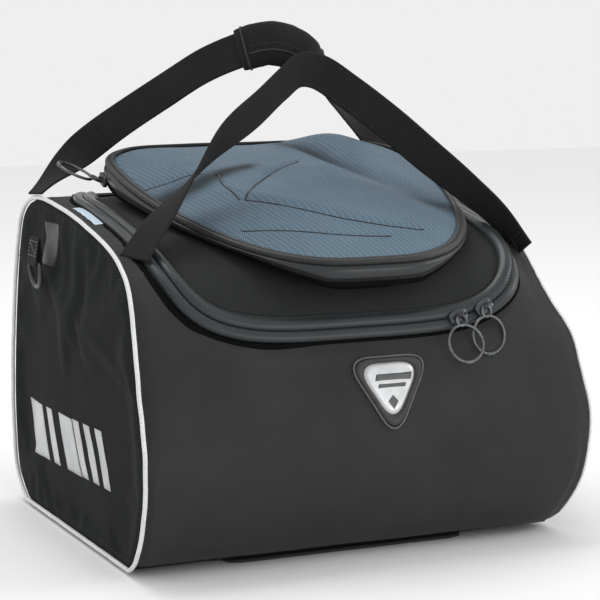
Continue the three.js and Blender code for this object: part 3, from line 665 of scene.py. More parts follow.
def wrap_shell():
    """Front, deck and rear shoulder in one sheet round the lid's opening."""
    inner = offset(ZIP, 6.5)
    ray = inner - CENTRE
    reach_x = (PANEL_EDGE - np.sign(ray[:, 0]) * ZIP_SHIFT) / np.maximum(abs(ray[:, 0]), 1e-9)
    low, high = CENTRE[1], WRAP.length - CENTRE[1]
    reach_s = np.where(ray[:, 1] < 0, low, high) / np.maximum(abs(ray[:, 1]), 1e-9)
    rim = CENTRE + ray * np.minimum(reach_x, reach_s)[:, None]
    for corner in [(sx * PANEL_EDGE, s) for sx in (-1, 1) for s in (0, WRAP.length)]:
        rim[np.argmin(np.hypot(*(rim - corner).T))] = corner
    share = smooth(np.linspace(0, 1, 56)) * 0.4 + np.linspace(0, 1, 56) * 0.6
    flat = inner[None] + (rim - inner)[None] * share[:, None, None]
    x, s = flat[..., 0], flat[..., 1]
    open_rim = smooth(np.clip(share / 0.1, 0, 1))[:, None]
    h = wrap_height(flat) * open_rim - 0.6 * (1 - open_rim)
    points = settle(WRAP.at(x, s, h))
    made = piece("wrap_shell", points, grid_faces(*x.shape, False, True), NYLON, "bag", flat,
                 ["main_wrap"], solid=SHELL_THICK)


def back_shell():
    rows, columns = 70, 90
    s, x = lattice((0, BACK.length, rows), (-PANEL_EDGE, PANEL_EDGE, columns))
    flat = np.stack([x, s], -1)
    rim = (np.abs(x) > PANEL_EDGE - 1) | (s < 1) | (s > BACK.length - 1)
    points = BACK.at(x, s, np.where(rim, -1.5, 0.0) + 0.5)
    faces = grid_faces(rows, columns)
    points = inflate(points, faces, rim, 3.0, 5.0)
    edge = smooth(np.minimum((PANEL_EDGE - abs(x)) / 20, np.minimum(s, BACK.length - s) / 20))
    points[..., 1] += edge * (1.8 * ripple(flat, 80, 7) + 0.5 * ripple(flat, 26, 8) - 0.5)
    made = piece("back_shell", points, faces, NYLON, "bag", flat, ["back_panel"],
                 solid=SHELL_THICK)
    top = BACK.at(np.linspace(-186, 186, 120), 9.0, 1.0)
    sewn("back_top_stitching", top, (0, 1, 0.05), "bag")
    low = BACK.at(np.linspace(-184, 184, 120), BACK.length - 12, 0.9)
    sewn("back_low_stitching", low, (0, 0.8, -0.6), "bag")
    line = np.stack([np.linspace(-190, 190, 90), np.full(90, 172.8), np.full(90, 239.5)], 1)
    line[:, 0] *= taper(239.5)
    points, faces = tube(line, 1.9, 10, False, (0, 1, 0))
    piece("back_seam_cord", points, faces, BINDING, "bag", rod_uv(line, 10, 1.9))


def rod_uv(line, sides, radius):
    u, v = np.meshgrid(np.arange(sides) * 2 * math.pi * radius / sides, lengths(line))
    return np.stack([u, v], -1)


def base():
    rows, columns = 40, 70
    y, x = lattice((-101, 158, rows), (-PANEL_EDGE, PANEL_EDGE, columns))
    rim = smooth(np.minimum((PANEL_EDGE - abs(x)) / 25, np.minimum(y + 101, 158 - y) / 18))
    under = (abs(x) < 110) & (y > -108) & (y < 148)
    droop = np.where(under, 0.0, 0.5 * rim * ripple(np.stack([x, y], -1), 40, 4))
    points = side_point(x, y, BOTTOM + 0.1 + droop + 0.6 * (1 - rim))
    made = piece("base_sheet", points, grid_faces(rows, columns)[:, ::-1], END_NYLON, "bag",
                 np.stack([x, y], -1), ["base_panel"], solid=2.0)
    corner = spline([(94, -106), (104, -102.5), (108, -92)], False, 6)
    side = np.vstack([corner, [(108, 20)], (corner * (1, -1) + (0, 40))[::-1]])
    outline = evenly(np.vstack([side, (side * (-1, 1))[::-1]]), 200, True)
    middle = np.array([0.0, 20.0])
    # The pad's levels from its top down, round its rim and in across its hollow underside: (size, z).
    levels = [(0.985, BOTTOM - 0.25), (1.0, BOTTOM - 0.7), (1.0, 0.6), (0.992, 0.0), (0.94, 0.0), (0.93, 0.7),
              (0.5, 0.7), (0.02, 0.7)]
    loops = np.stack([np.column_stack([middle + (outline - middle) * k, np.full(len(outline), z)])
                      for k, z in levels])
    ribs = []
    for n in range(-9, 10):
        line = np.stack([np.linspace(-96, 96, 60), 20 + 11.8 * n + 2.6 * np.sin(np.linspace(0, 24, 60)),
                         np.full(60, 0.75)], 1)
        ribs.append(tube(line, 1.5, 6, False, (0, 0, 1), 0.5))
    points, faces = merged([capped(loops, len(levels), len(outline))] + ribs)
    piece("base_grip_pad", points, faces, RUBBER, "bag", points[:, :2], ["base_pad"])
    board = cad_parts["base_board"].data.materials
    board.clear()
    board.append(BOARD)


END_OUTLINE = offset(SIDE_OUTLINE, 3.2)
END_OUTLINE[:, 1] = np.maximum(END_OUTLINE[:, 1], BOTTOM + 2.6)


def end_surface():
    """The right end panel, flat on its seam and swollen in its middle: points, their (y, z), and faces."""
    n = 60
    yz, share = patch(END_OUTLINE, SIDE_CENTRE, n)
    y, z = yz[..., 0], yz[..., 1]
    x = (PANEL_EDGE + 1.2) * taper(z) + 4.0 * (1 - share**2)
    faces = grid_faces(n + 1, n + 1)
    points = inflate(np.stack([x, y, z], -1), faces, share > 0.999, 3.0, 4.5)
    folds = 1.6 * ripple(yz, 75, 11) + 0.8 * ripple(yz * (0.5, 1), 30, 12) + 0.3 * ripple(yz, 13, 13)
    points[..., 0] += smooth((1 - share) / 0.12) * folds
    angle = np.arctan2(z - SIDE_CENTRE[1], y - SIDE_CENTRE[0])
    puckers = 0.45 * np.sin(angle * 88)
    points[..., 0] += puckers * smooth((share - 0.86) / 0.1) * smooth((1 - share) / 0.03)
    return points, yz, faces


def height_at(flat, height, places):
    """The height of a surface at each place, from the nearest of its points."""
    flat, height = flat.reshape(-1, 2), height.ravel()
    near = np.argsort(((flat[None] - places[:, None]) ** 2).sum(2), axis=1)[:, :4]
    weight = 1 / (((flat[near] - places[:, None]) ** 2).sum(2) + 0.5)
    return (height[near] * weight).sum(1) / weight.sum(1)


def end_height(points, places):
    return height_at(points[..., 1:], points[..., 0], places)


def reflective_bars(points):
    """Slanted bars printed on an end panel: each one's middle, width, foot and head."""
    bars = []
    for middle, wide, low, high in ((-47, 15, 58, 104), (-20, 15, 57, 103), (7, 15, 56, 102),
                                    (34, 34, 55, 101), (77, 15, 54, 100), (118, 40, 53, 99)):
        v, u = lattice((0, 1, 12), (0, 1, 10))
        y = middle + (u - 0.5) * wide + (v - 0.5) * 16
        z = low + (high - low) * v
        place = np.stack([y, z], -1).reshape(-1, 2)
        bars.append((np.column_stack([end_height(points, place) + 0.45, place]), grid_faces(12, 10)))
    return merged(bars)


def piping_line(hidden):
    """The cord's route round the right end, sunk behind the front's edge if it is hidden."""
    y, z = SIDE_OUTLINE.T
    line = side_point(np.full(len(y), SEAM_X), y, np.maximum(z, BOTTOM + 1.2))
    line[:, 0] += 0.35 * ripple(SIDE_OUTLINE, 14, 21)
    if hidden:
        line[:, 1:] += 4.6 * unit(SIDE_CENTRE - line[:, 1:])
    return line


def end_seam(points):
    """The stitched line beside the piping, open at the base."""
    seam = offset(SIDE_OUTLINE, 8.5)
    seam = seam[seam[:, 1] > BOTTOM + 8]
    gap = np.argmax(np.linalg.norm(np.diff(seam, axis=0, append=seam[:1]), axis=1)) + 1
    return np.roll(np.column_stack([end_height(points, seam) + 0.25, seam]), -gap, 0)


def ends():
    points, yz, faces = end_surface()
    bar_points, bar_faces = reflective_bars(points)
    for name, side in (("left", -1), ("right", 1)):
        flip = np.array([side, 1, 1])
        shape = settle if side > 0 else np.array
        made = piece(f"{name}_end", shape(points * flip), faces, END_NYLON, "bag", yz,
                     [f"{name}_end_panel"], solid=SHELL_THICK)
        piece(f"{name}_reflective_bars", shape(bar_points * flip), bar_faces, PRINT, "bag", bar_points[:, 1:],
              solid=0.25)
        line = shape(piping_line(hidden=side > 0) * flip)
        p, f = tube(line, PIPING_RADIUS, 12, True, (1, 0, 0))
        piece(f"{name}_piping_cord", p, f, PIPING, "bag", rod_uv(line, 12, PIPING_RADIUS),
              [f"{name}_piping"])
        sewn(f"{name}_end_stitching", shape(end_seam(points) * flip), (side, 0, 0), "bag", pitch=3.8)
    return points


wrap_shell()
back_shell()
base()
END_POINTS = ends()


# ---------- lid, its zip and its hinge ----------
def lid_panel():
    n = 64
    xs, share = patch(offset(ZIP, -8.0), CENTRE, n)
    rim = smooth((1 - share) / 0.08)
    h = rim * (0.9 + 0.9 * ripple(xs, 60, 31) + 0.4 * ripple(xs, 24, 32)) - 0.8 * (1 - rim)
    made = piece("lid_shell", WRAP.at(xs[..., 0], xs[..., 1], h), grid_faces(n + 1, n + 1), SHADED_LID_NYLON, "lid",
                 xs, ["lid_panel"], solid=2.2)


# Cross-sections beside the zip, as (distance from the coil, height): the lid's edge is a fat rolled tape that
# overhangs the coil, the deck's is a flatter one below it, and a dark strip at its outer edge is painted
# shadow.
LID_ROLL = [(-11.6, -0.4), (-11.2, 1.0), (-9.8, 2.6), (-8.0, 3.9), (-5.8, 4.9), (-3.6, 5.1), (-1.6, 4.5),
            (-0.5, 3.4), (-0.3, 1.2), (-0.9, -0.8)]
DECK_EDGE = [(0.9, -0.8), (0.3, 1.4), (0.5, 2.9), (1.8, 3.8), (4.2, 4.2), (6.6, 4.0), (8.2, 3.2), (8.9, 1.6),
             (8.6, -1.0)]
DECK_SHADOW_STRIP = [(0.0, -0.6), (0.8, 0.5), (2.0, 0.75), (3.2, 0.4), (3.8, -0.6)]


def main_zip():
    x, s = ZIP[FRONT_RUN].T
    wave = 0.25 * ripple(ZIP[FRONT_RUN], 34, 33)
    p, f = band([zip_ring(d, h + wave) for d, h in spline(LID_ROLL, False, 3)], False)
    piece("lid_zip_roll", p, f, TAPE, "lid", band_uv(p), ["lid_zip_tape"])
    p, f = band([zip_ring(d, h + wave) for d, h in spline(DECK_EDGE, False, 3)], False)
    p = settle(p)
    piece("deck_zip_edge", p, f, TAPE, "bag", band_uv(p), ["deck_zip_tape"])
    # Painted shadow: the near-black strip beside the deck's edge is widened towards the left front.
    broad = 1 + 1.3 * smooth((-30 - x) / 70) * smooth((ZIP_FRONT + 140 - s) / 70)
    p, f = band([zip_ring(8.2 + d * broad, h + wave) for d, h in spline(DECK_SHADOW_STRIP, False, 3)], False)
    piece("deck_edge_painted_shadow", settle(p), f, WALL_AND_SHADE, "bag", band_uv(p))
    out = zip_ring(0, 1.0) - zip_ring(0, 0.0)
    for name, distance, body in (("lid_zip_coil", -0.2, "lid"), ("deck_zip_coil", 0.6, "bag")):
        p, f = blocks(zip_ring(distance, 0.7), out, 1.7, (0.95, 2.2, 1.3), 0.5)
        piece(name, p, f, COIL, body)
    for name, distance, h, body in (("lid_roll_stitching", -10.9, 1.75, "lid"),
                                    ("deck_edge_stitching", 6.9, 3.95, "bag"),
                                    ("lid_panel_stitching", -14.0, 0.9, "lid")):
        sewn(name, zip_ring(distance, h), out, body, pitch=3.0)


def zip_stops():
    """Each end of the zip is closed by a small folded stop."""
    v, u = lattice((-1, 1, 10), (-1, 1, 14))
    h = 0.8 + 1.6 * (1 - u**4) * (1 - v**4)
    first_is_right = ZIP[FRONT_RUN[0], 0] > ZIP_SHIFT
    for name, first in (("left", not first_is_right), ("right", first_is_right)):
        end = ZIP[FRONT_RUN[0] if first else FRONT_RUN[-1]]
        x, s = end[0] + 8.0 * u, end[1] + 4.0 + 5 * v
        piece(f"{name}_zip_stop", WRAP.at(x, s, h), grid_faces(10, 14), BINDING, "bag", np.stack([x, s], -1),
              solid=0.8)


def hinge():
    rows, columns = 16, 120
    half = 154.0
    s, x = lattice((ZIP_REAR - 10.5, ZIP_REAR + 8.6, rows), (ZIP_SHIFT - half, ZIP_SHIFT + half, columns))
    flat = np.stack([x, s], -1)
    h = 0.5 + 0.9 * np.cos((s - ZIP_REAR) / 10 * math.pi / 2) + 0.3 * ripple(flat, 18, 35)
    made = piece("rear_hinge_fabric", WRAP.at(x, s, h), grid_faces(rows, columns), END_NYLON, None, flat,
                 ["lid_hinge"], solid=0.9)
    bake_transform(made)


lid_panel()
main_zip()
zip_stops()
hinge()


# ---------- top pocket ----------
def drawn_in(y):
    return y * (1 + (np.where(y < 0, 0.86, 0.93) - 1) * smooth((abs(y) - 50) / 60))


def foot_height(y):
    return deck_height(drawn_in(y)) + 1.2


def wall_height(y):
    return edge_height(y) - foot_height(y)


EDGE_Y = POCKET[:, 1]
BAND_DEPTH = np.minimum(14.6, 0.6 * wall_height(EDGE_Y))
TAPE_DEPTH = np.minimum(20.0, 0.8 * wall_height(EDGE_Y))


def pocket_ring(distance, depth):
    loop = offset(POCKET, distance)
    return np.column_stack([loop, edge_height(EDGE_Y) - depth])


def pocket():
    outline = offset(POCKET, -3.0)
    foot = np.column_stack([POCKET_SHIFT + (outline[:, 0] - POCKET_SHIFT) * 0.905, drawn_in(outline[:, 1]),
                            foot_height(outline[:, 1]) - 0.8])
    head = pocket_ring(-3.0, TAPE_DEPTH - 1.5)
    inward = unit((POCKET_CENTRE - POCKET) @ np.eye(2, 3))
    rows = []
    for t in np.linspace(0, 1, 22):
        tall = np.linalg.norm(head - foot, axis=1)
        fold = (np.minimum(5.0, 0.3 * tall) * math.sin(math.pi * t) * (1 + 0.25 * math.cos(6 * math.pi * t))
                + 0.4 * ripple(POCKET + 40 * t, 22, 41) * math.sin(math.pi * t))
        rows.append(foot + (head - foot) * t + inward * fold[:, None])
    p, f = band(rows)
    made = piece("pocket_bellows", p, f, WALL_AND_SHADE, "lid", band_uv(p), ["pocket_gusset"], solid=0.8)
    # Below the coil a flat tape, above it the rolled band that carries the cover.
    low = [(-2.6, 0.0), (-0.6, 0.05), (0.4, 0.3), (0.6, 0.55), (0.3, 0.85), (-2.2, 1.0)]
    tall = BAND_DEPTH + 1.0 - TAPE_DEPTH
    p, f = band([pocket_ring(d, TAPE_DEPTH + tall * k) for d, k in spline(low, False, 3)])
    # The lower tape takes the near-black wall fabric: painted shade under the roll.
    piece("pocket_lower_edge", p, f, WALL_AND_SHADE, "lid", band_uv(p), ["pocket_lower_tape"])
    high = [(-2.6, 1.0), (0.2, 0.99), (1.9, 0.86), (2.9, 0.62), (3.0, 0.4), (2.2, 0.2), (0.9, 0.08),
            (-0.6, 0.0)]
    wave = 0.25 * ripple(POCKET, 30, 42)
    p, f = band([pocket_ring(d + wave, 2.0 + (BAND_DEPTH - 3.0) * k) for d, k in spline(high, False, 4)])
    piece("pocket_zip_roll", p, f, ROLL, "pocket_lid", band_uv(p), ["pocket_zip_band"])
    outward = -inward
    seat = pocket_ring(0.0, BAND_DEPTH)
    for name, drop, body in (("pocket_upper_coil", -0.55, "pocket_lid"), ("pocket_lower_coil", 0.55, "lid")):
        p, f = blocks(seat - (0, 0, drop), outward, 1.6, (0.9, 1.5, 1.2), 0.35, -1.2, True)
        piece(name, p, f, COIL, body)
    sewn("pocket_band_stitching", pocket_ring(1.75, 3.6), outward, "pocket_lid", closed=True, pitch=3.0)


def strokes(place, line, width, depth, ridge):
    """A sewn channel along a line: a narrow groove with a soft ridge on its far side."""
    line = evenly(spline(line, False, 24), 160)
    t = along_of(line)
    apart = place[:, :, None] - line[None, None]
    far = np.hypot(apart[..., 0], apart[..., 1])
    k = far.argmin(2)
    near = np.take_along_axis(far, k[..., None], 2)[..., 0]
    chosen = np.take_along_axis(apart, k[..., None, None], 2)[:, :, 0]
    side = chosen[..., 0] * -t[k][..., 1] + chosen[..., 1] * t[k][..., 0]
    fade = smooth(np.minimum(k, len(line) - 1 - k) / 6 + 0.35)
    groove = -depth * np.exp(-((near / width) ** 2)) * fade
    return groove + ridge * np.exp(-(((side - 9) / 8) ** 2)) * (near < 40) * smooth((40 - near) / 24)


# The cover's sewn channels: their routes from above, and how deep each one is and how high its far side.
CHANNELS = [[(-134, 20), (-109, 24), (-84, 29), (-63, 22)],
            [(-61, 22), (-66, 2), (-64, -30)],
            [(23, 46), (4, 34), (-20, 13), (-42, -8), (-60, -31)],
            [(-60, -31), (-23, -58), (10, -78), (40, -92), (70, -99)],
            [(-84, -80), (-40, -93), (0, -104), (34, -110)]]
CHANNEL_DEPTH = (1.6, 1.1, 1.9, 2.0, 1.2)
CHANNEL_RIDGE = (0.5, 0.4, 0.0, 1.6, 0.3)


def painted_cover_shade(x, y, valley):
    """Painted shade on the cover, 0 to 0.97: beside the left channel, in the valley and at its right edge."""
    start, step = np.array([-12.0, 44.0]), np.array([-122.0, -57.0])
    along = np.clip(((x - start[0]) * step[0] + (y - start[1]) * step[1]) / (step @ step), 0, 1)
    far = np.hypot(x - start[0] - along * step[0], y - start[1] - along * step[1])
    stroke = 1.05 * np.exp(-((far / (5 + 9 * along)) ** 2)) * smooth(along * 6)
    deep = 0.75 * np.exp(-(((x - 46) / 26) ** 2)) + 0.6 * np.exp(-(((x - 122) / 24) ** 2)) + 0.12
    hollow = deep * np.exp(-((valley / 20) ** 2)) * smooth((x - 8) / 30)
    return np.clip(stroke + hollow + 0.2 * smooth((x - 100) / 50) * smooth((y + 60) / 60), 0, 0.97)


def cover_relief(xy, share, valley):
    """The cover's swells: soft waves, channels, a valley across its right half, a step and a rear hump."""
    x, y = xy[..., 0], xy[..., 1]
    lift = 1.3 * ripple(xy, 70, 51) + 0.25 * ripple(xy, 20, 52)
    for path, depth, ridge in zip(CHANNELS, CHANNEL_DEPTH, CHANNEL_RIDGE):
        lift += strokes(xy, path, 2.6, depth, ridge)
    lift += -4.2 * np.exp(-((valley / 26) ** 2)) * smooth((x - 18) / 30) * smooth((1 - share) / 0.2)
    step = smooth((x * 0.62 + y * 0.35 + 58) / 22) * smooth((88 - abs(y + 10)) / 60)
    lift += 3.0 * step * smooth((120 - x) / 80)
    return lift + 11 * np.exp(-(((x - 74) / 36) ** 2) - ((y - 92) / 34) ** 2)


def cover():
    n = 150
    xy, share = patch(offset(POCKET, -2.6), POCKET_CENTRE, n)
    x, y = xy[..., 0], xy[..., 1]
    valley = np.interp(x, (34, 50, 84, 118), (101, 58, -2, -46)) - y
    rim = smooth((1 - share) / 0.07)
    swell = 10.5 * (1 - share**3) + cover_relief(xy, share, valley) * rim - 1.4 * (1 - rim)
    points = np.stack([x, y, edge_height(y) + 1.2 + swell], -1)
    made = piece("pocket_blue_cover", points, grid_faces(n + 1, n + 1), BLUE, "pocket_lid", xy,
                 ["pocket_cover"], solid=2.6)
    # Painted shade for the cover, carried in a UV layer that its material reads.
    tone = painted_cover_shade(x, y, valley)
    lay_uv(made.data, "pressed", np.stack([tone, tone], -1))
    middle = np.array([POCKET_SHIFT, 15, 0])
    under = (middle + (points - middle) * (0.982, 0.982, 1) - (0, 0, 3.6))[::3, ::3]
    made = piece("pocket_lid_lining", under, grid_faces(*under.shape[:2]), LINING, "pocket_lid", xy[::3, ::3],
                 solid=0.5)
    # Dark cords laid along the channels: painted shade for the channels' grooves.
    cords = []
    for path in CHANNELS:
        plan = evenly(spline(path, False, 24), 90)
        top = height_at(points[..., :2], points[..., 2], plan) + 0.1
        cords.append(tube(np.column_stack([plan, top]), 0.85, 8, False, (0, 0, 1), 0.6))
    p, f = merged(cords)
    piece("cover_channel_painted_shade", p, f, THREAD, "pocket_lid", p[:, :2])
    # The cover's edge is bound: a fat cord and a thinner one inside it.
    line = pocket_ring(-0.4, 0.0)
    wave = 1 + 0.04 * ripple(POCKET, 12, 53)
    p, f = merged([tube(line, 2.35 * wave, 12, True), tube(pocket_ring(-4.0, -1.5), 1.5 * wave, 10, True)])
    uv = np.vstack([rod_uv(line, 12, 2.35).reshape(-1, 2), rod_uv(line, 10, 1.5).reshape(-1, 2)])
    piece("pocket_edge_binding", p, f, BINDING, "pocket_lid", uv, ["pocket_piping"])
    sewn("cover_stitching", pocket_ring(-6.4, -2.75), (0, -0.2, 1), "pocket_lid", closed=True, pitch=3.0)


def pocket_hinge():
    rows, columns = 14, 60
    rear = EDGE_Y.max() + 1.6
    top, low = edge_height(rear) - 6.5, edge_height(rear) - 22.5
    z, x = lattice((low, top, rows), (POCKET_SHIFT - 52, POCKET_SHIFT + 52, columns))
    flat = np.stack([x, z], -1)
    y = rear + 1.9 * np.sin(np.linspace(0, math.pi, rows))[:, None] + 0.2 * ripple(flat, 15, 55)
    made = piece("pocket_rear_hinge", np.stack([x, y, z], -1), grid_faces(rows, columns)[:, ::-1], END_NYLON,
                 None, flat, ["pocket_hinge"], solid=0.8)
    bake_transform(made)


pocket()
cover()
pocket_hinge()


# ---------- handles ----------
STRAP_POINTS = 260


def strap_frame(points, end_angles, top_angle, reach, count=STRAP_POINTS):
    """A strap's middle line, and the directions across it and through it as it twists from end to end."""
    line = evenly(spline(points), count)
    t = np.linspace(0, 1, count)
    left, right = smooth(t / reach[0]), smooth((1 - t) / reach[1])
    turn = (end_angles[0] - top_angle) * (1 - left) + (end_angles[1] - top_angle) * (1 - right)
    angle = np.radians(top_angle + turn)
    along = along_of(line)
    wide = np.stack([np.zeros(count), np.cos(angle), np.sin(angle)], 1)
    wide = unit(wide - (wide * along).sum(1)[:, None] * along)
    return line, wide, np.cross(along, wide)


def strap_part(name, body, whole, run, ends, replaces=()):
    """One length of strap with its stitching. ends says which of its ends are sewn down: 0 and -1."""
    line, wide, thick = (v[run] for v in whole)
    a, b = WEBBING / 2, WEBBING_THICK / 2
    half = [(-a, 0), (-a + 0.5, b * 0.9), (-a + 1.6, b * 1.15), (-a + 3, b), (-a / 2, b), (0, b), (a / 2, b),
            (a - 3, b), (a - 1.6, b * 1.15), (a - 0.5, b * 0.9)]
    profile = np.array(half + [(-u, -v) for u, v in half])
    bow = 0.35 * ripple(line, 60, 59)[:, None] * (1 - (profile[None, :, 0] / a) ** 2)
    p = (line[:, None] + profile[None, :, :1] * wide[:, None]
         + (profile[None, :, 1:] + bow[..., None]) * thick[:, None])
    p, f = capped(p, len(line), len(profile))
    u, v = np.meshgrid(profile[:, 0], run.start + lengths(line))
    made = piece(name, p, f, WEB, body, np.stack([u, v], -1), replaces)
    trim = slice(4 if 0 in ends else 0, -4 if -1 in ends else None)
    rows = []
    bars = [end + step if end == 0 else end - step for end in ends for step in (3, 5, 7)]
    for face in (-1, 1):
        out = thick * face
        for inset in (-11.8, 11.8):
            row = line[trim] + wide[trim] * inset + out[trim] * (b - 0.05)
            rows.append(stitches(row, out[trim], pitch=3.2, radius=0.22))
        for k in bars:
            bar = line[k] + wide[k] * np.linspace(-11, 11, 24)[:, None] + out[k] * b
            rows.append(stitches(bar, out[k], pitch=1.4, long=1.2))
    p, f = merged(rows)
    return [made, piece(f"{name}_stitching", p, f, THREAD, body)]


REAR_ROOT = 38
REAR_LINE = strap_frame(REAR_STRAP, (0, 0), 82, (0.14, 0.14))


def yields(pieces):
    """Gives each piece its own copy of its mesh."""
    for made in pieces:
        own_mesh(made)


def handles():
    middle = slice(REAR_ROOT, STRAP_POINTS - REAR_ROOT)
    yields(strap_part("rear_webbing", "rear_handle", REAR_LINE, middle, (), ["rear_handle_strap"]))
    for name, run, end in (("left", slice(0, REAR_ROOT + 1), 0),
                           ("right", slice(STRAP_POINTS - 1 - REAR_ROOT, STRAP_POINTS), -1)):
        for made in strap_part(f"rear_webbing_{name}_root", None, REAR_LINE, run, (end,)):
            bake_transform(made)
    front = strap_frame(FRONT_STRAP, (30, -28), -80, (0.36, 0.24))
    whole = slice(0, STRAP_POINTS)
    for made in strap_part("front_webbing", None, front, whole, (0, -1), ["front_handle_strap"]):
        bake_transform(made)


def grip():
    line, wide, thick = strap_frame(REAR_STRAP, (0, 0), 82, (0.14, 0.14), 800)
    run = slice(int(0.425 * 800), int(0.585 * 800), 3)
    line, wide, thick = line[run], wide[run], thick[run]
    n, sides = len(line), 40
    t = np.linspace(0, 1, n)
    a = np.arange(sides) * 2 * math.pi / sides
    swell = 0.8 + 1.0 * np.sin(math.pi * t) ** 0.5 + 0.5 * ripple(line, 16, 61)
    wide_r = WEBBING / 2 + 2.0 + swell
    thick_r = 3.4 + swell
    crease = 0.35 * ripple(np.stack(np.meshgrid(a * 8, t * 150), -1), 9, 62)
    c, s = np.cos(a), np.sign(np.sin(a)) * abs(np.sin(a)) ** 0.7
    p = (line[:, None] + (c[None] * (wide_r[:, None] + crease))[..., None] * wide[:, None]
         + (s[None] * (thick_r[:, None] + crease))[..., None] * thick[:, None])
    u, v = np.meshgrid(a * 12, lengths(line))
    shell, faces = capped(p, n, sides)
    made = piece("grip_sleeve", shell, faces, GRIP, "rear_handle", np.stack([u, v], -1),
                 ["handle_grip"])
    cords = []
    for k in (3, n - 4):
        ring = p[k] + unit(p[k] - line[k]) * 0.15
        cords.append(tube(ring, 0.95, 8, True, along_of(line)[k]))
    flap = p[4:-4, int(sides * 0.31)] + thick[4:-4] * 0.35
    cords.append(tube(flap, 0.7, 8, False, thick[4:-4]))
    points, faces = merged(cords)
    edges = piece("grip_edges", points, faces, BINDING, "rear_handle", points[:, [0, 2]])
    seam = p[6:-6, int(sides * 0.31) - 2] + thick[6:-6] * 0.1
    yields([made, edges, sewn("grip_stitching", seam, thick[6:-6], "rear_handle", pitch=3.0)])


handles()
grip()


# ---------- zip sliders and pull rings ----------
# Each slider's place, the directions along the zip and outwards, its ring's tilt and turn, and the two bodies.
SLIDERS = {
    "left_zip": ((81.55, -136.21, 192.05), (0.966, 0.093, 0.242), (0, -0.933, 0.359), -0.02, -0.24,
                 "left_slider", "left_pull"),
    "right_zip": ((106.27, -133.96, 197.71), (0.862, 0.187, 0.471), (0, -0.929, 0.369), 0.22, -0.5,
                  "right_slider", "right_pull"),
    "pocket": ((-137.87, 92.04, 293.03), (-0.04, -0.96, -0.27), (-1, 0.04, 0.01), 1.2, math.pi,
               "pocket_zip_slider", "pocket_pull"),
}


def slider_parts():
    """The slider's body, its two cheeks and the bail that the ring hangs on."""
    lower = [(-8, -3.4), (-7, -4.2), (-3, -5.4), (2, -5.3), (7, -4.6), (8, -3.6)]
    upper = [(8, 3.6), (7, 4.6), (2, 5.3), (-3, 5.4), (-7, 4.2), (-8, 3.4)]
    plan = evenly(spline(lower + upper, True, 8), 64, True)
    levels = [(0.9, -0.3), (1, 0.1), (1, 0.9), (0.93, 1.1), (0.93, 1.6), (1, 1.8), (1, 2.3), (0.88, 2.9),
              (0.3, 3.05)]
    loops = np.stack([np.column_stack([plan * k, np.full(64, z)]) for k, z in levels])
    body = capped(loops, len(levels), 64)
    a = np.linspace(0, math.pi, 22)
    arch = np.vstack([[(-4.9, 0, 1.5)], np.column_stack([-3.6 * np.cos(a), 0 * a, 3.4 + 3.4 * np.sin(a)]),
                      [(4.9, 0, 1.5)]])
    bail = tube(evenly(spline(arch, False, 6), 60), 0.95, 10, False, (0, 1, 0), 1.5)
    rivets = [tube([(x, 0, 2.4), (x, 0, 3.2), (x, 0, 3.5)], (1.3, 1.2, 0.5), 12, False, (0, 1, 0))
              for x in (-6.2, 6.2)]
    return merged([body, bail] + rivets)


def ring_parts():
    """A wire ring hung from the slider by a small eye, with the join that closes the wire."""
    a = np.linspace(0, 2 * math.pi, 60, endpoint=False)
    eye = tube(np.column_stack([4.4 * np.sin(a), -4.4 + 4.4 * np.cos(a), 0 * a]), 1.15, 10, True, (0, 0, 1))
    a = np.linspace(0, 2 * math.pi, 110, endpoint=False)
    ring = np.column_stack([15.4 * np.sin(a), -23.6 + 15.4 * np.cos(a), 0 * a])
    collar = evenly(ring[51:60], 12)
    return merged([eye, tube(ring, 1.25, 12, True, (0, 0, 1)), tube(collar, 1.65, 12, False, (0, 0, 1))])


def zip_pulls():
    for name, (origin, along, outward, tilt, turn, slider, pull) in SLIDERS.items():
        p, f = slider_parts()
        p = in_frame(p, origin, along, outward)
        piece(f"{name}_slider_body", p, f, DARK_METAL, slider, replaces=[f"{name}_slider"])
        p, f = ring_parts()
        axle = np.asarray(origin) + 4.8 * unit(np.asarray(outward, float))
        p = in_frame(turned(p, tilt, turn), axle, along, outward)
        piece(f"{name}_pull_ring", p, f, METAL, pull, replaces=[f"{name}_puller"])


# ---------- strap rings, their tabs ----------
RING_X = (SEAM_X + 1) * taper(225.0) + 6 + 3.8


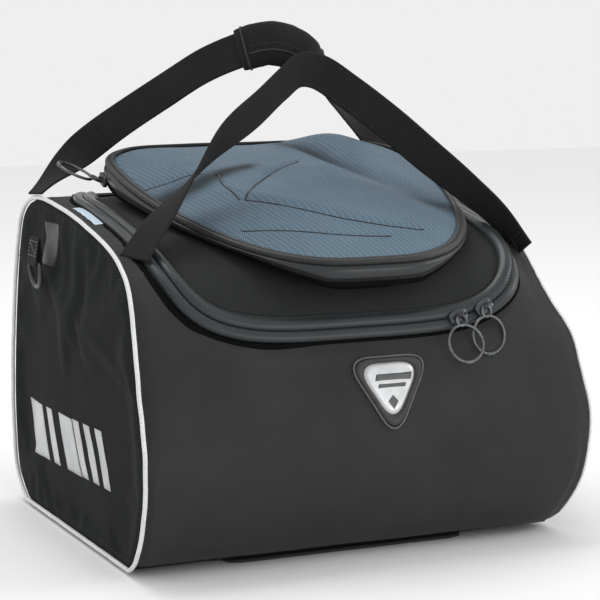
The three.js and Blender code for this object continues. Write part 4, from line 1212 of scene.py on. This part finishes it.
def strap_rings():
    for name, side in (("left", -1), ("right", 1)):
        flip = np.array([side, 1, 1])
        a = np.linspace(0, math.pi, 40)
        arc = np.column_stack([RING_X - 2.2 * np.sin(a), 88 + 15 * np.cos(a), 222 - 17 * np.sin(a)])
        bar = np.array([(RING_X, y, 225) for y in (76, 82, 88, 94, 100)])
        line = evenly(spline(np.vstack([arc[::3], bar]), True, 10), 120, True)
        fat = 1.7 + 0.5 * smooth((222 - line[:, 2]) / 14)
        p, f = tube(line, fat, 12, True, (1, 0, 0))
        piece(f"{name}_strap_ring", p * flip, f, PLASTIC, f"{name}_ring",
              replaces=[f"{name}_d_ring"])
        # The tab is one strip of webbing: down the end panel, round the bar, and back up over itself.
        wrap = np.column_stack([RING_X + 3.1 * np.cos(np.linspace(0.15 * math.pi, -1.15 * math.pi, 26)),
                                225 + 3.1 * np.sin(np.linspace(0.15 * math.pi, -1.15 * math.pi, 26))])
        route = np.vstack([[(RING_X - 0.2, 247)], [(RING_X + 1.0, 240)], [(RING_X + 2.4, 231)], wrap,
                           [(RING_X - 3.4, 231)], [(RING_X - 2.6, 240)], [(RING_X - 1.9, 247)]])
        route = evenly(spline(route, False, 4), 90)
        v, y = np.meshgrid(lengths(route), np.linspace(-12, 12, 20), indexing="ij")
        p = np.stack([np.repeat(route[:, :1], 20, 1), 88 + y, np.repeat(route[:, 1:], 20, 1)], -1)
        p[..., 0] += 0.12 * ripple(np.stack([y, v], -1), 6, 71)
        order = slice(None, None, -1) if side > 0 else slice(None)
        piece(f"{name}_ring_webbing", p * flip, grid_faces(90, 20)[:, order], WEB, "bag",
              np.stack([y, v], -1), [f"{name}_ring_tab"], solid=0.9)
        box = [(-9.5, 231.5), (9.5, 231.5), (9.5, 243.5), (-9.5, 243.5), (-9.5, 231.5), (9.5, 243.5)]
        rows = []
        for (y0, z0), (y1, z1) in zip(box, box[1:]):
            k = np.linspace(0, 1, 14)
            z = z0 + (z1 - z0) * k
            x = np.interp(z, (231, 240, 247), (RING_X + 2.45, RING_X + 1.1, RING_X)) + 0.1
            line = np.column_stack([x, 88 + y0 + (y1 - y0) * k, z])
            rows.append(stitches(line, (1, 0, 0.1), pitch=2.2, long=1.6))
        p, f = merged(rows)
        piece(f"{name}_ring_stitching", p * flip, f, GREY_THREAD, "bag")
        # A dark patch under the tab spreads its load.
        corner = [(-17, -15), (17, -15), (17, 20), (-17, 20)]
        outline = evenly(spline([(y + 88, z + 238) for y, z in corner for _ in (0, 1)], True, 8), 120, True)
        yz, share = patch(outline, np.array([88.0, 240.0]), 24)
        out = end_height(END_POINTS, yz.reshape(-1, 2)).reshape(share.shape)
        out += 0.1 + 0.7 * smooth((1 - share) / 0.1)
        piece(f"{name}_ring_patch", np.dstack([out, yz]) * flip, grid_faces(25, 25), BINDING, "bag", yz)


# ---------- badge and label ----------
def badge_outline(grow, count=180):
    """A rounded triangle, point down, whose corners are arcs."""
    top = 24 + 0.6 * grow
    corners = np.array([(-34.5 - grow, top), (0, -36 - 1.4 * grow), (34.5 + grow, top)])
    dense = []
    for k in range(3):
        at = corners[k]
        back, ahead = unit(corners[k - 1] - at), unit(corners[(k + 1) % 3] - at)
        reach = 13 / math.tan(math.acos(back @ ahead) / 2)
        t = np.linspace(0, 1, 16)[:, None]
        dense.append((1 - t) ** 2 * (at + back * reach) + 2 * t * (1 - t) * at + t**2 * (at + ahead * reach))
    return evenly(np.vstack(dense), count, True) + (BADGE_X, BADGE_S)


def on_front(plan, h):
    """Points on the front panel's visible surface, from (x, s) and height."""
    return WRAP.at(plan[..., 0], plan[..., 1], h + BADGE_SEAT)


def badge():
    centre = np.array([BADGE_X, BADGE_S + 3.5])
    rim = [(2.4, -1.0), (2.2, 1.0), (1.5, 2.3), (0.2, 3.0), (-1.6, 3.1), (-3.2, 2.7), (-4.3, 2.0),
           (-4.8, 0.4)]
    rows = [on_front(badge_outline(g), h) for g, h in spline(rim, False, 3)]
    p, f = band(rows)
    piece("badge_rim", p, f, BADGE, "bag", band_uv(p), ["badge_frame"])
    line = on_front(badge_outline(3.4), 0.9)
    out = on_front(badge_outline(3.4), 1.9) - line
    p, f = tube(line, 1.05, 10, True, out)
    piece("badge_edge_cord", p, f, GREY_CORD, "bag", rod_uv(line, 10, 1.05))
    n = 40
    xs, share = patch(badge_outline(-4.2), centre, n)
    h = 1.1 + 1.5 * smooth((1 - share) / 0.16) + 0.5 * (1 - share**2)
    piece("badge_face", on_front(xs, h), grid_faces(n + 1, n + 1), SILVER, "bag", xs,
          ["badge_plate"])
    marks = []
    for low, high, left, right, lean in ((6.5, 12.5, -16, 16, 0.25), (0.8, 4.4, -12.5, 12.0, 0.25)):
        u, v = np.meshgrid(np.linspace(0, 1, 24), np.linspace(0, 1, 8))
        x = left + (right - left) * u + lean * (low + (high - low) * v)
        plan = np.stack([x + BADGE_X, BADGE_S + low + (high - low) * v], -1)
        edge = np.minimum(np.minimum(u, 1 - u) * 20, np.minimum(v, 1 - v) * 8)
        marks.append((on_front(plan, 2.75 + 0.5 * smooth(edge + 0.2)), grid_faces(8, 24)))
    loop = evenly(np.array([(0, -17), (5.5, -10), (0, -3), (-5.5, -10)]), 60, True) + (BADGE_X, BADGE_S)
    plan, part = patch(loop, np.array([BADGE_X, BADGE_S - 10]), 12)
    marks.append((on_front(plan, 2.6 + 0.5 * smooth((1 - part) / 0.3)), grid_faces(13, 13)))
    p, f = merged(marks)
    piece("badge_emblem", p, f, ENAMEL, "bag", p[:, [0, 2]])
    line = on_front(badge_outline(6.0), 0.15)
    out = on_front(badge_outline(6.0), 1.15) - line
    sewn("badge_stitching", line, out, "bag", closed=True, pitch=3.0)


def label():
    start = WRAP.d[np.argmax((WRAP.yz[:, 1] > 150) & (WRAP.yz[:, 0] > -2))]
    s, x = lattice((start, start + 60, 40), (-185.5, -178.5, 12))
    flat = np.stack([x, s], -1)
    h = wrap_height(flat) + 0.8 + 0.2 * ripple(flat, 9, 81)
    piece("side_woven_label", WRAP.at(x, s, h), grid_faces(40, 12), LABEL, "bag", flat,
          ["side_label"], solid=0.6)


# ---------- lining ----------
def lining():
    loop = offset(SIDE_OUTLINE, 13.0)
    columns = 60
    x = np.linspace(-186, 186, columns)
    y = np.repeat(loop[:, :1], columns, 1)
    z = np.repeat(loop[:, 1:], columns, 1)
    wide = np.repeat(x[None], len(loop), 0)
    place = np.stack([wide, y, z], -1)
    sway = 0.7 * ripple(place, 45, 91) + 0.3 * ripple(place, 16, 92)
    inward = unit(SIDE_CENTRE - np.stack([y, z], -1))
    drape = np.stack([side_point(wide, y, z)[..., 0], y + inward[..., 0] * (0.8 + sway),
                      z + inward[..., 1] * (0.8 + sway)], -1)
    mouth = (z > 180) & (abs(wide) < 152) & (y > -118) & (y < 124)
    body = [f for f in grid_faces(len(loop), columns, True, False).tolist()
            if not all(mouth.ravel()[k] for k in f)]
    parts = [(settle(drape), body)]
    uvs = [np.stack(np.meshgrid(x, np.arange(len(loop)) * 4.6), -1).reshape(-1, 2)]
    for side in (-1, 1):
        yz, share = patch(loop, SIDE_CENTRE, 30)
        out = 186 * taper(yz[..., 1]) - 1.5 * smooth((1 - share) / 0.2)
        out += 0.8 * ripple(yz, 40, 93) * (1 - share)
        parts.append((settle(np.dstack([side * out, yz])), grid_faces(31, 31).tolist()))
        uvs.append(yz.reshape(-1, 2))
    p, f = merged(parts)
    made = piece("bag_lining", p, f, LINING, "bag", np.vstack(uvs), ["inner_lining"])


zip_pulls()
strap_rings()
badge()
label()
lining()


# ---------- studio ----------
def lay_floor():
    mesh = bpy.data.meshes.new("floor")
    a, z = 4.0, -0.0004
    mesh.from_pydata([(-a, -a, z), (a, -a, z), (a, a, z), (-a, a, z)], [], [(0, 1, 2, 3)])
    floor = bpy.data.objects.new("floor", mesh)
    SCENE.collection.objects.link(floor)
    look = Look("paper", 0.9, specular=0.1)
    grain = look.spread(look.noise(2.5, 2.0), 0.0, 1.0)
    tone = look.mixed(grain, (0.915, 0.915, 0.915), (0.93, 0.93, 0.93))
    mesh.materials.append(look.finish(tone))


def area_light(name, place, target, size, power):
    data = bpy.data.lights.new(name, "AREA")
    data.shape = "DISK"
    data.size = size
    data.energy = power
    obj = bpy.data.objects.new(name, data)
    obj.location = place
    obj.rotation_euler = (Vector(target) - Vector(place)).to_track_quat("-Z", "Y").to_euler()
    SCENE.collection.objects.link(obj)


def studio():
    lay_floor()
    world = bpy.data.worlds.new("studio")
    world.use_nodes = True
    world.node_tree.nodes["Background"].inputs[0].default_value = (0.88, 0.88, 0.88, 1)
    world.node_tree.nodes["Background"].inputs[1].default_value = 0.98
    SCENE.world = world
    area_light("overhead", (-0.3, 0.4, 2.2), (0, 0, 0.2), 1.0, 13)
    area_light("side_fill", (2.4, -0.9, 1.3), (0.05, 0, 0.2), 1.0, 13)
    area_light("front_fill", (0.9, -2.3, 0.35), (0.1, -0.1, 0.1), 1.2, 9)
    SCENE.view_settings.view_transform = "Standard"
    data = bpy.data.cameras.new("camera")
    data.lens = 126.06
    data.sensor_width = 36
    camera = bpy.data.objects.new("camera", data)
    right, up = Vector((0.90996, -0.41469, 0)), Vector((0.05771, 0.12664, 0.99027))
    turn = Matrix((right, up, right.cross(up))).transposed()
    camera.matrix_world = Matrix.Translation((-0.7297, -1.6094, 0.4411)) @ turn.to_4x4()
    SCENE.collection.objects.link(camera)
    SCENE.camera = camera


studio()
